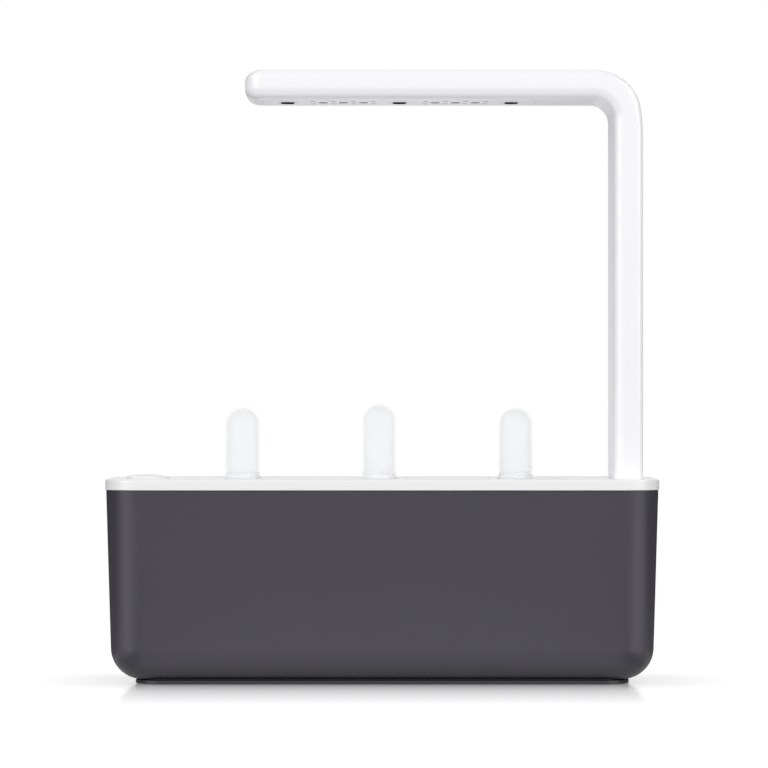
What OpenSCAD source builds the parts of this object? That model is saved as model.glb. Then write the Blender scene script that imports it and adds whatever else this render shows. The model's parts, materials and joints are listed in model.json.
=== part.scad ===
// Countertop hydroponic garden: a self-watering tank with three plant pods under a lamp on an arm.
// Millimetres. X runs along the tank to the lamp column, Y runs back, Z up from the table.
// The origin is the middle of the footprint, on the table.

/* [Tank] */
// Length of the tank across its rim
tank_l = 299.6; // [280:0.2:330]
// Depth of the tank across its rim
tank_d = 124; // [116:0.2:140]
// Height of the tank from its underside to its rim
tank_h = 102.5; // [92:0.5:120]
// Radius of the upright corners at the rim
tank_corner = 21; // [20:0.5:24]
// Lean of the tank walls, in degrees
tank_draft = 1.7; // [0.5:0.1:2]
// Radius of the rounded edge round the underside
tank_foot_r = 17; // [10:0.5:17]
// Thickness of the tank walls
tank_wall = 2.4; // [2:0.1:3]
// Thickness of the tank floor
tank_floor = 2.6; // [2:0.1:3.5]

/* [Base] */
// Height that the rubber feet stand out
feet_proud = 0.4; // [0.2:0.1:1]
// Diameter of a rubber foot
feet_d = 14; // [10:0.5:16]
// Distance of the feet from the middle, lengthways
feet_x = 112; // [100:1:116]
// Distance of the feet from the middle, front to back
feet_y = 30; // [24:1:32]
// Height of the plinth under the tank
plinth_h = 2; // [1.8:0.1:4]
// Height of the shadow gap over the plinth
plinth_gap = 0.6; // [0.4:0.1:1.2]
// How far the plinth stands in from the rim of the tank
plinth_inset = 15.6; // [14:0.2:18]
// Radius of the plinth's corners
plinth_corner = 16; // [12:0.5:20]
// Diameter of a base screw's head
base_head_d = 5.6; // [5:0.1:6.2]
// Diameter of a base screw's shank
base_shank_d = 2.9; // [2.5:0.1:3.2]
// Length of a base screw under its head
base_screw_l = 7; // [5:0.5:9]

/* [Lid] */
// Height of the lid from its skirt's edge to its top
lid_h = 5.3; // [4.6:0.1:7]
// Thickness of the lid plate
lid_t = 2.6; // [2.2:0.1:3.2]
// How far the lid stands out beyond the tank's rim
lid_over = 0.5; // [0.2:0.1:1]
// Thickness of the lid's skirt
lid_skirt = 1.3; // [1:0.1:1.5]
// Radius of the lid's upper edge
lid_edge = 1.2; // [0.6:0.1:1.6]
// Dark gap between the lid's skirt and the tank's rim
lid_gap = 0.6; // [0.4:0.1:1.2]
// Thickness of the collars that hang under the lid
collar_t = 1.2; // [1:0.1:1.6]

/* [Float] */
// Distance of the float's middle from the lid's left end
float_inset = 21.6; // [20:0.1:24]
// Width of the float cap
cap_w = 22; // [18:0.5:23]
// Length of the float cap, front to back
cap_l = 44; // [36:0.5:52]
// How far the cap's crown stands above the lid when the tank is full
cap_rise = 2.7; // [1.5:0.1:4]
// Height of the crown above the cap's edge
cap_crown = 2.3; // [1.5:0.1:3]
// Height of the float cap's side
cap_side = 5; // [4:0.5:8]
// Travel of the float from a full to an empty tank
float_travel = 24; // [16:0.5:30]
// Height of the float block
bob_h = 16; // [10:0.5:20]
// Length of the stem between cap and block
stem_l = 26; // [22:0.5:32]
// Diameter of each of the two stem posts
stem_d = 4; // [3:0.1:5]

/* [Pods] */
// Distance between neighbouring pods
pod_pitch = 75; // [66:0.5:80]
// Place of the middle pod along the lid
pod_mid_x = -1.7; // [-6:0.1:3]
// Inner width of a pod cup's mouth
cup_w = 20; // [17:0.5:22]
// Inner length of a pod cup's mouth
cup_l = 45; // [40:0.5:54]
// Depth of a pod cup under the lid's top
cup_depth = 46; // [40:0.5:52]
// Thickness of a pod cup's wall
cup_wall = 1.1; // [0.8:0.1:1.5]
// How much the cup narrows on each side, mouth to floor
cup_taper = 1.6; // [0.5:0.1:2.5]
// Width of the flange that carries a cup on the lid
flange_w = 4.5; // [3:0.1:6]
// Thickness of that flange
flange_t = 1.2; // [0.8:0.1:1.4]
// Thickness of a plant pod's wall
pod_wall = 0.9; // [0.6:0.1:1.3]
// Depth of the pods' rims under the lid's top
pod_sink = 5.7; // [4.5:0.1:7]
// Depth of the soil under the pods' rims
soil_sink = 6; // [4:0.5:10]
// How far the middle pod stands up out of its cup
pod_proud = 2; // [0:0.1:3]
// Width of a germination dome at its foot
dome_w = 19; // [16:0.1:21]
// Length of a germination dome at its foot
dome_l = 44; // [38:0.1:52]
// Height of a dome above the lid
dome_h = 38.4; // [26:0.1:50]
// How much a dome narrows on each side, foot to crown
dome_taper = 0.8; // [0.2:0.1:1.5]
// Thickness of a dome's wall
dome_wall = 1; // [0.8:0.1:1.5]
// Width of the little lip round a dome's foot
dome_lip = 0.5; // [0.3:0.1:0.9]
// Width of a wick
wick_w = 10; // [6:0.5:14]
// Thickness of a wick
wick_t = 2; // [1:0.1:3]
// Gap between a wick's end and the tank floor
wick_gap = 4; // [2:0.5:12]

/* [Lamp arm] */
// Thickness of the arm
arm_t = 16.2; // [14:0.2:17]
// Width of the arm, front to back
arm_w = 84; // [70:1:92]
// Wall of the arm's hollow shells
arm_wall = 2; // [1.6:0.1:2.4]
// Edge radius on the arm's inner and lower side
edge_in = 6; // [4:0.5:6.5]
// Edge radius on the arm's outer and upper side
edge_out = 3.5; // [2.5:0.5:6]
// Inside radius of the bend
bend_r = 10.5; // [6:0.5:24]
// Distance of the column from the lid's right end
arm_inset = 8.7; // [8.4:0.1:10.5]
// Height of the lamp's underside above the lid
lamp_clear = 206.2; // [190:0.2:240]
// Reach of the lamp, column's outer face to tip
lamp_reach = 216; // [200:0.5:230]
// Radius of the lamp tip's corners, seen from above
tip_corner = 9; // [8.5:0.5:20]
// Height of the seam between extension and lamp above the lid
seam_h = 127.6; // [110:0.2:140]
// Width of that seam
seam_gap = 0.3; // [0.2:0.1:0.6]
// Length of the column inside the tank's socket
arm_insert = 53; // [48:0.5:56]
// Length of the lamp's tongue inside the extension
tongue_l = 24; // [18:0.5:30]

/* [Lamp panel] */
// Length of the panel under the lamp
panel_l = 150; // [146:1:156]
// Width of the panel
panel_w = 66; // [56:1:70]
// Thickness of the panel
panel_t = 1.8; // [1.5:0.1:2.4]
// Distance of the panel's middle from the lamp's tip
panel_mid = 83.8; // [82:0.2:87]
// Distance between the panel's screws
screw_pitch = 61.4; // [60:0.2:64]
// Diameter of the dished ring round a screw
dish_d = 10.8; // [10:0.2:13]
// Diameter of the seat for a screw's head
well_d = 6.8; // [6.6:0.1:7.4]
// Diameter of a panel screw's head
head_d = 6.2; // [5.6:0.1:6.4]
// How far a screw's head stands out of the panel
head_proud = 0.5; // [0:0.1:0.8]
// Diameter of a panel screw's shank
shank_d = 2.4; // [2:0.1:2.8]
// Distance between neighbouring rows of lights
led_pitch = 5.5; // [5.2:0.1:6]
// Number of rows of lights in a group
led_rows = 7; // [5:2:7]
// Size of a light
led_w = 2.4; // [2:0.1:2.5]
// Diameter of the openings for paired lights
pair_hole_d = 3.6; // [3.6:0.1:4]
// Diameter of the openings for single lights
single_hole_d = 4.4; // [4:0.1:5]
// Distance of the paired lights from the middle
led_pair_y = 13; // [9:0.5:18]
// Thickness of the circuit boards
board_t = 1.6; // [1:0.1:2]

/* [Power] */
// Distance of the power inlet from the column
inlet_from_arm = 9; // [8:0.5:12]
// Height of the power inlet above the table
inlet_z = 27; // [26:0.5:29]
// Diameter of the inlet's body
inlet_d = 11; // [9:0.1:12]
// Length of the inlet's body
inlet_l = 15; // [12:0.5:16]
// Diameter of the inlet's socket
socket_d = 6; // [5.5:0.1:6.5]
// Depth of the inlet's socket
socket_l = 9.5; // [8:0.5:10]
// Diameter of the inlet's middle pin
inlet_pin_d = 2.1; // [1.6:0.1:2.5]
// Diameter of the contact pins that carry current up the arm
contact_d = 2.4; // [2:0.1:3]
// Length of the contact pins
contact_l = 6; // [4:0.5:7]
// Distance between the two contact pins
contact_pitch = 16; // [12:0.5:18]
// Diameter of one wire
wire_d = 1.6; // [1:0.1:2]

/* [Fits] */
// Gap round pieces that lift out
loose_fit = 0.5; // [0.3:0.05:0.7]
// Gap round pieces that plug together
plug_fit = 0.3; // [0.2:0.05:0.4]
// Gap between pieces that rest on one another
seat_fit = 0.2; // [0.1:0.05:0.3]
// Gap all round a screw's shank
screw_fit = 0.05; // [0.03:0.01:0.1]

/* [Hidden] */
$fn = 64;
over = 1;                                      // how far a cutting shape runs past the face it cuts

// Colours
charcoal = "#4d4c52";
white = "#f3f3f5";
frost = [0.94, 0.95, 0.96, 0.75];
black = "#1c1c1e";
steel = "#b8b9bc";
brass = "#c9a14a";

// Heights
tank_under = feet_proud + plinth_h + plinth_gap;
tank_top = tank_under + tank_h;
lid_low = tank_top + lid_gap;
lid_top = lid_low + lid_h;
lid_under = lid_top - lid_t;
seat_z = lid_top - arm_insert;                 // where the column stands in the tank's socket
lamp_under = lid_top + lamp_clear;
seam_z = lid_top + seam_h;

// Plan of the tank and lid: the centres of their upright corners, and radii about them
corner_x = tank_l / 2 - tank_corner;
corner_y = tank_d / 2 - tank_corner;
lid_r = tank_corner + lid_over;
lid_half_l = tank_l / 2 + lid_over;
foot_z = tank_under + tank_foot_r;             // height of the centre of the rounded lower edge

// Radius about a corner centre of the leaning wall's outer face, at height z
function wall_r(z) = tank_corner - (tank_top - z) * tan(tank_draft);
foot_r_x = wall_r(foot_z) - tank_foot_r / cos(tank_draft);

// Column of the arm
arm_x1 = lid_half_l - arm_inset;               // outer face of the column
arm_x0 = arm_x1 - arm_t;                       // inner face of the column
bend_x = arm_x0 - bend_r;                      // centre of the bend
bend_z = lamp_under - bend_r;
tip_x = arm_x1 - lamp_reach;
column_x = arm_x0 + arm_t / 2;
well_floor = 6;                                // thickness of the floor of the arm's socket
well_wall = 2;                                 // thickness of the socket's walls
spigot_l = 8;                                  // height of the tongue that reaches into the column's foot

// Dry bay under the tank floor, which holds the wiring
bay_wall = 2.4;
bay_roof_z = 23.5;
bay_reach = 28.5;                              // length of the bay on the column's inner side
bay_x0 = arm_x0 - bay_reach;
bay_x1 = arm_x0 + 3;
bay_y = 31.5;
tower_x = arm_x0 - inlet_from_arm;             // the inlet's axis
tower_w = 14;
tower_top = inlet_z + inlet_d / 2 + 5.5;
tower_low = tank_under + 13;
tower_y = tank_d / 2 - 9.5;                    // inner face of the tower's back wall
inlet_y = corner_y + wall_r(inlet_z - inlet_d / 2) - 0.4;
inlet_flange = 1;                              // width of the inlet's flange, half its thickness
pin_recess = 1;                                // distance of the inlet's pin from its open end

// Pods
function pod_x(i) = pod_mid_x + (i - 1) * pod_pitch;
function pod_up(i) = i == 1 ? pod_proud : 0;
cup_r = cup_w / 2;
cup_y = (cup_l - cup_w) / 2;                   // half the straight length of every pod's outline
cup_floor_z = lid_top - cup_depth;
cup_floor_t = 1.4;
pod_rim_z = lid_top - pod_sink;
pod_r = dome_w / 2;                            // half width of a plant pod's rim and of a dome's foot
pod_y = (dome_l - dome_w) / 2;
wick_pad_t = 1.2;
pod_low_z = cup_floor_z + cup_floor_t + wick_pad_t + plug_fit;
wick_slot_fit = 0.4;
soil_fit = 0.05;
drain_d = 5;                                   // holes in a pod's floor
dome_lip_h = 1;
side_window = [2 * cup_w, 5, 9];               // openings through a cup's long sides
side_window_z = cup_floor_z + 4;
// Inner radius of a cup's wall at height z
function cup_inner_r(z) = cup_r - cup_taper * (lid_top - z) / cup_depth;
// Outer radius of a plant pod at its lower end
pod_low_r = min(cup_inner_r(pod_low_z) - loose_fit, pod_r - 0.4);

// Float
float_x = -lid_half_l + float_inset;
cap_r = cap_w / 2;
cap_y = (cap_l - cap_w) / 2;
port_r = cap_r + loose_fit;
cap_edge_z = lid_top + cap_rise - cap_crown;
cap_low_z = cap_edge_z - cap_side;
cap_wall = 1.4;
cap_roof = 0.6;                                // solid under the level of the cap's edge
post_y = cap_y * 0.7;                          // the stem's two posts
post_end = 1.8;                                // distance of the posts' tops below the cap's edge
post_sink = 6;                                 // depth of the posts in the float block
stem_bar_t = 2;
crown_r = (cap_r * cap_r + cap_crown * cap_crown) / (2 * cap_crown);
bob_top_z = cap_low_z - stem_l;
bob_low_z = bob_top_z - bob_h;
bob_r = cap_r - 0.6;
guide_post_h = 2.8;                            // posts between the lid and the guide's ears
guide_top = lid_under - guide_post_h;
guide_t = 1.2;
guide_floor = 2;
guide_low = bob_low_z - float_travel - guide_floor - plug_fit;
water_slot_w = 6;                              // windows in the guide's long sides
water_slot_pitch = 9;
water_slot_low = guide_low + 6;
water_slot_high = guide_top - 10;
ear_y = cap_l / 2 + loose_fit + collar_t + 4;  // the guide's screws
ear_d = 8;
ear_t = 2;
collar_h = 6;                                  // height of the collars under the lid plate
guide_screw_d = 2;
guide_head_d = 4;
guide_head_t = 1.6;
guide_screw_l = 4;

// Base screws
base_screw_x = [-94, -5, 84];
base_screw_y = 34;
base_head_t = 1.5;
base_boss_d = 8;
base_boss_roof = 3;                            // solid over a base screw's hole

// Lamp
panel_x = tip_x + panel_mid;
panel_r = 6;
well_top = panel_t + 4;                        // height of a screw post over the panel's lower face
well_out_d = well_d + 2.4;
board_end = 4.8;                               // board beyond its outer screw posts
board_l = 2 * (screw_pitch + board_end) + well_out_d;
dish_h = 0.5;
led_group_x = screw_pitch / 2;
board_w = 40;
board_r = 3;
board_z = lamp_under + panel_t + 0.5;
led_t = 0.9;
head_t = 1.8;
head_seat = head_t - head_proud;                // height of the seat over the panel's lower face
screw_l = 9;
boss_d = 7;
timer_l = 42;
timer_w = 30;
timer_post_d = 4;
timer_z = bend_z + bend_r + arm_t / 2 - board_t / 2;
timer_x = panel_x + 14;
plug_in = 18;                                  // length of a plug inside its own shell
socket_t = 18;                                 // height of the extension's upper socket block
sleeve_d = contact_d + 1.6;
sleeve_l = contact_l + 2;
spigot_x = 8;
spigot_y = 28;
block_x = spigot_x + 2;                        // the connector's body, under its tongue
block_y = spigot_y + 6;
connector_l = spigot_y + 22;                   // length of the connector's flange
connector_t = 2;                               // thickness of that flange
connector_screw_y = spigot_y / 2 + 7;
connector_low = seat_z - well_floor - 4;
shaft_y = connector_l / 2 + 2;
wire_y = contact_pitch / 2 + 4;                // half the width of the wires' passage
wire_z = 5;                                    // half its height
wire_rise = 2.5;                               // height of each wire off the inlet's axis
tongue_z = seam_z - tongue_l;                  // lower end of the lamp's tongue
socket_top = tongue_z - seat_fit;
lead_z = tongue_z + 6;                         // lower end of the lamp's wires

// ---- Shared shapes ----

// A solid of rounded-rectangle plan. The children are its half profile: x outward from the corner
// centres, y up. The middle is filled from low to high.
module around(cx, cy, low, high) {
    for (a = [0, 90, 180, 270]) {
        dist = a % 180 == 0 ? cx : cy;
        half = a % 180 == 0 ? cy : cx;
        sign_x = a == 0 || a == 270 ? 1 : -1;
        sign_y = a < 180 ? 1 : -1;
        translate([sign_x * cx, sign_y * cy, 0]) rotate([0, 0, a]) rotate_extrude(angle = 90) children();
        if (half > 0)
            rotate([0, 0, a]) translate([dist, half, 0]) rotate([90, 0, 0])
                linear_extrude(2 * half) children();
    }
    if (cx > 0 && high > low) translate([-cx, -cy, low]) cube([2 * cx, 2 * cy, high - low]);
}

// A flat oblong with round ends, front to back
module oblong(r, y, h) {
    for (s = [-1, 1]) translate([0, s * y, 0]) cylinder(r = r, h = h);
    translate([-r, -y, 0]) cube([2 * r, 2 * y, h]);
}

// A plate with rounded corners, standing on z = 0
module plate(l, w, r, h) {
    linear_extrude(h) union() {
        for (sx = [-1, 1], sy = [-1, 1]) translate([sx * (l / 2 - r), sy * (w / 2 - r)]) circle(r);
        square([l - 2 * r, w], center = true);
        square([l, w - 2 * r], center = true);
    }
}

// A wire along straight runs between points, round at its turns
module wire(points, d) {
    for (i = [0 : len(points) - 2]) {
        a = points[i];
        run = points[i + 1] - a;
        turn = run[0] != 0 ? [0, 90 * sign(run[0]), 0]
             : run[1] != 0 ? [-90 * sign(run[1]), 0, 0]
             : [run[2] < 0 ? 180 : 0, 0, 0];
        translate(a) rotate(turn) cylinder(d = d, h = norm(run));
        if (i > 0) translate(a) sphere(d = d);
    }
}

// A pan-head screw pointing up, the underside of its head at z = 0
module screw(head, head_h, shank, length) {
    difference() {
        translate([0, 0, -head_h]) cylinder(d = head, h = head_h);
        for (a = [0, 90]) rotate([0, 0, a])
            translate([-head * 0.3, -head * 0.07, -head_h - over])
                cube([head * 0.6, head * 0.14, over + head_h * 0.5]);
    }
    cylinder(d = shank, h = length);
}

// ---- Tank ----

// Half profile of the tank inside a wall of the given thickness, up to height top
module tank_profile(wall, floor, top) {
    r = tank_foot_r - wall;
    lean = tank_draft;
    low = tank_under + floor;
    knee_z = foot_z - r * sin(lean);
    polygon([
        [0, low], [foot_r_x, low], [foot_r_x + r * cos(lean), knee_z],
        [wall_r(top) - wall / cos(lean), top], [0, top]
    ]);
    intersection() {
        translate([foot_r_x, foot_z]) circle(r);
        translate([0, low]) square([tank_corner, r]);
    }
}

// A box from one corner to the other, grown by g
module grown_box(low, high, g) translate(low - [g, g, g]) cube(high - low + 2 * [g, g, g]);

// The dry bay with the inlet's tower and the shaft up to the socket's floor, grown by g
module dry_bay(g) {
    grown_box([bay_x0, -bay_y, tank_under - over - g], [bay_x1, bay_y, bay_roof_z], g);
    grown_box([tower_x - tower_w / 2, -wire_y, tower_low], [tower_x + tower_w / 2, tower_y, tower_top], g);
    grown_box([tower_x, -wire_y, inlet_z - wire_z], [column_x, wire_y, inlet_z + wire_z], g);
    grown_box([arm_x0 + well_wall, -shaft_y, tower_low],
              [arm_x1 - well_wall, shaft_y, seat_z - well_floor - g], g);
}

module base_screw_places() {
    for (x = base_screw_x, s = [-1, 1]) translate([x, s * base_screw_y, 0]) children();
}

// The connector's two screws under the socket's floor
module connector_screw_places() {
    for (s = [-1, 1]) translate([column_x, s * connector_screw_y, 0]) children();
}

module water_tank() color(charcoal) difference() {
    around(corner_x, corner_y, tank_under, lid_under - seat_fit)
        tank_profile(0, 0, lid_under - seat_fit);
    // Water space, less what stands in it
    difference() {
        around(corner_x, corner_y, tank_under + tank_floor, lid_top)
            tank_profile(tank_wall, tank_floor, lid_top);
        translate([arm_x0 - loose_fit - well_wall, -arm_w / 2 - loose_fit - well_wall, 0])
            cube([arm_t + 2 * (loose_fit + well_wall), arm_w + 2 * (loose_fit + well_wall),
                  lid_under - seat_fit]);
        dry_bay(bay_wall);
        base_screw_places() cylinder(d = base_boss_d, h = tank_under + base_screw_l + base_boss_roof);
        grown_box([tower_x - tower_w / 2, corner_y, tower_low],
                  [tower_x + tower_w / 2, tank_d / 2, tower_top], bay_wall);
    }
    // Step round the rim: the lid's skirt hides the lip above it
    difference() {
        translate([-tank_l, -tank_d, tank_top]) cube([2 * tank_l, 2 * tank_d, tank_h]);
        around(corner_x, corner_y, tank_top - over, lid_top)
            translate([0, tank_top - over]) square([tank_corner - tank_wall / 2, lid_h + 2 * over]);
    }
    // Socket for the column, and the dry space below it
    translate([arm_x0, 0, seat_z - seat_fit]) linear_extrude(arm_insert) arm_section(loose_fit);
    dry_bay(0);
    grown_box([column_x - block_x / 2, -block_y / 2, connector_low],
              [column_x + block_x / 2, block_y / 2, seat_z], plug_fit);
    connector_screw_places() translate([0, 0, seat_z - well_floor - over])
        cylinder(d = guide_screw_d + 2 * screw_fit, h = guide_screw_l + over);
    base_screw_places() translate([0, 0, tank_under - over])
        cylinder(d = base_shank_d + 2 * screw_fit, h = base_screw_l + over);
    // Hole in the back wall for the power inlet
    translate([tower_x, 0, inlet_z]) rotate([-90, 0, 0])
        cylinder(d = inlet_d + 2 * screw_fit, h = tank_d);
}

module base_plate() color(charcoal) {
    plinth_l = tank_l - 2 * plinth_inset;
    plinth_d = tank_d - 2 * plinth_inset;
    step = 5;
    difference() {
        union() {
            translate([0, 0, feet_proud]) plate(plinth_l, plinth_d, plinth_corner, plinth_h);
            translate([0, 0, feet_proud])
                plate(plinth_l - 2 * step, plinth_d - 2 * step, plinth_corner - step,
                      plinth_h + plinth_gap);
        }
        for (sx = [-1, 1], sy = [-1, 1]) translate([sx * feet_x, sy * feet_y, 0])
            cylinder(d = feet_d + 2 * seat_fit, h = feet_proud + plinth_h / 2);
        base_screw_places() {
            cylinder(d = base_head_d + 2 * seat_fit, h = feet_proud + base_head_t + seat_fit);
            cylinder(d = base_shank_d + 2 * screw_fit, h = tank_under + over);
        }
    }
}

module rubber_feet() color(black)
    for (sx = [-1, 1], sy = [-1, 1]) translate([sx * feet_x, sy * feet_y, 0])
        cylinder(d = feet_d, h = feet_proud + plinth_h / 2);

module base_screws() color(steel)
    base_screw_places() translate([0, 0, feet_proud + base_head_t + seat_fit])
        screw(base_head_d, base_head_t, base_shank_d, base_screw_l - over);

// Lying along Y from the outer face of the back wall, with its flange against the tower's inside
module power_inlet() color(black)
    translate([tower_x, inlet_y, inlet_z]) rotate([90, 0, 0]) difference() {
        union() {
            cylinder(d = inlet_d, h = inlet_l);
            translate([0, 0, inlet_y - tower_y])
                cylinder(d = inlet_d + 2 * inlet_flange, h = 2 * inlet_flange);
        }
        translate([0, 0, -over]) cylinder(d = socket_d, h = socket_l + over);
    }

module inlet_pin() color(steel) translate([tower_x, inlet_y - pin_recess, inlet_z]) rotate([90, 0, 0])
    cylinder(d = inlet_pin_d, h = socket_l - pin_recess);

// Insulating block under the socket's floor, with a tongue that reaches up into the column
module base_connector() color(black) {
    translate([column_x - block_x / 2, -block_y / 2, connector_low])
        cube([block_x, block_y, seat_z - seat_fit - connector_low]);
    translate([column_x - spigot_x / 2, -spigot_y / 2, seat_z - seat_fit - over])
        cube([spigot_x, spigot_y, spigot_l + seat_fit + over]);
    difference() {
        translate([column_x - block_x / 2, -connector_l / 2, seat_z - well_floor - connector_t])
            cube([block_x, connector_l, connector_t]);
        connector_screw_places() translate([0, 0, seat_z - 2 * well_floor])
            cylinder(d = guide_screw_d + 2 * screw_fit, h = 2 * well_floor);
    }
}

module base_contacts() color(brass) contact_places()
    translate([0, 0, seat_z + spigot_l]) contact_pin();

module connector_screws() color(steel)
    connector_screw_places() translate([0, 0, seat_z - well_floor - connector_t])
        screw(guide_head_d, guide_head_t, guide_screw_d, guide_screw_l);

// Two wires from the inlet to the connector
module base_harness() color("firebrick") for (s = [-1, 1]) {
    level = inlet_z + s * wire_rise;
    y = contact_pitch / 2 * s;
    wire([
        [tower_x, inlet_y - inlet_l, level], [tower_x, y, level],
        [column_x, y, level], [column_x, y, connector_low]
    ], wire_d);
}

// ---- Electrical pieces that repeat up the arm ----

module contact_places() {
    for (s = [-1, 1]) translate([column_x, s * contact_pitch / 2, 0]) children();
}

// A round-nosed pin standing on z = 0
module contact_pin() {
    cylinder(d = contact_d, h = contact_l - contact_d / 2);
    translate([0, 0, contact_l - contact_d / 2]) sphere(d = contact_d);
}

// A sleeve that takes a pin, closed at its far end
module contact_sleeve() difference() {
    cylinder(d = sleeve_d, h = sleeve_l);
    translate([0, 0, -over]) cylinder(d = contact_d + 2 * plug_fit, h = contact_l + plug_fit + over);
}

// ---- Lid ----

module lid_profile() {
    skirt_x = lid_r - lid_skirt;
    translate([0, lid_under]) square([lid_r - lid_edge, lid_t]);
    translate([skirt_x, lid_low]) square([lid_skirt, lid_h - lid_edge]);
    translate([lid_r - lid_edge - over, lid_under]) square([over, lid_t]);
    intersection() {
        translate([lid_r - lid_edge, lid_top - lid_edge]) circle(lid_edge);
        translate([skirt_x - over, lid_under]) square([lid_skirt + over, lid_t]);
    }
}

module lid() color(white) difference() {
    union() {
        around(corner_x, corner_y, lid_under, lid_top) lid_profile();
        for (i = [0 : 2]) translate([pod_x(i), 0, lid_under - collar_h])
            oblong(cup_r + cup_wall + loose_fit + collar_t, cup_y, collar_h + lid_t / 2);
        translate([float_x, 0, guide_top])
            oblong(port_r + collar_t, cap_y, guide_post_h + lid_t / 2);
        guide_screw_places() cylinder(d = ear_d - ear_t, h = guide_post_h + over);
    }
    for (i = [0 : 2]) {
        translate([pod_x(i), 0, lid_under - collar_h - over])
            oblong(cup_r + cup_wall + loose_fit, cup_y, lid_h + collar_h);
        translate([pod_x(i), 0, lid_top - flange_t - seat_fit])
            oblong(cup_r + flange_w + plug_fit, cup_y, lid_t);
    }
    translate([float_x, 0, guide_top - over]) oblong(port_r, cap_y, guide_post_h + lid_t + 2 * over);
    translate([arm_x0, 0, lid_under - over]) linear_extrude(lid_t + 2 * over) arm_section(loose_fit);
    guide_screw_places() translate([0, 0, -over])
        cylinder(d = guide_screw_d + 2 * screw_fit, h = guide_screw_l - ear_t + 2 * over);
}

// ---- Float and its guide ----

// The two ears, each with its children turned so that +Y points away from the guide
module guide_screw_places() {
    for (a = [0, 180]) translate([float_x, 0, guide_top]) rotate([0, 0, a])
        translate([0, ear_y, 0]) children();
}

module float_guide() color(white) difference() {
    union() {
        translate([float_x, 0, guide_low]) oblong(port_r + guide_t, cap_y, guide_top - guide_low);
        guide_screw_places() translate([0, 0, -ear_t]) {
            cylinder(d = ear_d, h = ear_t);
            translate([-ear_d / 2, -ear_d, 0]) cube([ear_d, ear_d, ear_t]);
        }
    }
    translate([float_x, 0, guide_low + guide_floor]) oblong(port_r, cap_y, tank_h);
    // Water comes in through holes in the floor and windows in both long sides
    for (k = [-1, 0, 1]) translate([float_x, k * cap_y, guide_low - over])
        cylinder(r = port_r * (k == 0 ? 1 / 3 : 1 / 2), h = guide_floor + 2 * over);
    for (k = [-1, 0, 1])
        translate([float_x - cap_w, k * water_slot_pitch - water_slot_w / 2, water_slot_low])
            cube([2 * cap_w, water_slot_w, water_slot_high - water_slot_low]);
    guide_screw_places() translate([0, 0, -ear_t - over])
        cylinder(d = guide_screw_d + 2 * screw_fit, h = ear_t + 2 * over);
}

module guide_screws() color(steel)
    guide_screw_places() translate([0, 0, -ear_t])
        screw(guide_head_d, guide_head_t, guide_screw_d, guide_screw_l);

// Half profile of the float cap, whose crown is an arc
module cap_profile() {
    translate([0, cap_low_z]) square([cap_r, cap_side]);
    intersection() {
        translate([0, cap_edge_z + cap_crown - crown_r]) circle(crown_r, $fn = 180);
        translate([0, cap_edge_z - over]) square([cap_r, cap_crown + over]);
    }
}

module float_cap() color(white) translate([float_x, 0, 0]) difference() {
    around(0, cap_y, 0, 0) cap_profile();
    difference() {
        translate([0, 0, cap_low_z - over]) oblong(cap_r - cap_wall, cap_y, cap_side + over - cap_roof);
        stem_posts() cylinder(d = stem_d + 2 * cap_wall, h = cap_edge_z);
    }
    stem_posts() cylinder(d = stem_d + 2 * screw_fit, h = cap_edge_z - post_end + seat_fit);
}

module stem_posts() {
    for (s = [-1, 1]) translate([0, s * post_y, 0]) children();
}

module float_stem() color(white) translate([float_x, 0, bob_top_z]) {
    stem_posts() translate([0, 0, -post_sink])
        cylinder(d = stem_d, h = post_sink + cap_edge_z - post_end - bob_top_z);
    translate([-stem_d / 2, -post_y, 0]) cube([stem_d, 2 * post_y, stem_bar_t]);
}

module float_bob() color("whitesmoke") translate([float_x, 0, 0]) difference() {
    translate([0, 0, bob_low_z]) oblong(bob_r, cap_y, bob_h);
    stem_posts() translate([0, 0, bob_top_z - post_sink - seat_fit])
        cylinder(d = stem_d + 2 * screw_fit, h = bob_h);
}

// ---- Pods ----

// A tapering oblong solid from low to high, r_low and r_high being its radii there
module taper_oblong(y, r_low, r_high, low, high)
    around(0, y, 0, 0) polygon([[0, low], [r_low, low], [r_high, high], [0, high]]);

module pod_cup(i) color(white) translate([pod_x(i), 0, 0]) difference() {
    union() {
        taper_oblong(cup_y, cup_inner_r(cup_floor_z) + cup_wall, cup_r + cup_wall, cup_floor_z, lid_top);
        translate([0, 0, lid_top - flange_t]) oblong(cup_r + flange_w, cup_y, flange_t);
    }
    taper_oblong(cup_y, cup_inner_r(cup_floor_z + cup_floor_t), cup_inner_r(lid_top + over),
                 cup_floor_z + cup_floor_t, lid_top + over);
    // Slot for the wick, and windows near the floor through both long sides
    translate([-wick_t / 2 - wick_slot_fit, -wick_w / 2 - wick_slot_fit, cup_floor_z - over])
        cube([wick_t + 2 * wick_slot_fit, wick_w + 2 * wick_slot_fit, cup_floor_t + 2 * over]);
    for (s = [-1, 1]) translate([-cup_w, s * cup_y * 0.7 - side_window[1] / 2, side_window_z])
        cube(side_window);
}

module wick(i) color("ivory") translate([pod_x(i), 0, 0]) {
    wick_low = tank_under + tank_floor + wick_gap;
    pad_r = cup_inner_r(cup_floor_z + cup_floor_t) - plug_fit;
    translate([0, 0, cup_floor_z + cup_floor_t]) oblong(pad_r, cup_y, wick_pad_t);
    translate([-wick_t / 2, -wick_w / 2, wick_low])
        cube([wick_t, wick_w, cup_floor_z + cup_floor_t - wick_low]);
}

module plant_pod(i) color("saddlebrown") translate([pod_x(i), 0, pod_up(i)]) difference() {
    taper_oblong(pod_y, pod_low_r, pod_r, pod_low_z, pod_rim_z);
    taper_oblong(pod_y, pod_low_r - pod_wall, pod_r - pod_wall, pod_low_z + pod_wall, pod_rim_z + over);
    for (s = [-1, 0, 1]) translate([0, s * pod_y * 0.8, pod_low_z - over])
        cylinder(d = drain_d, h = pod_wall + 2 * over);
}

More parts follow.
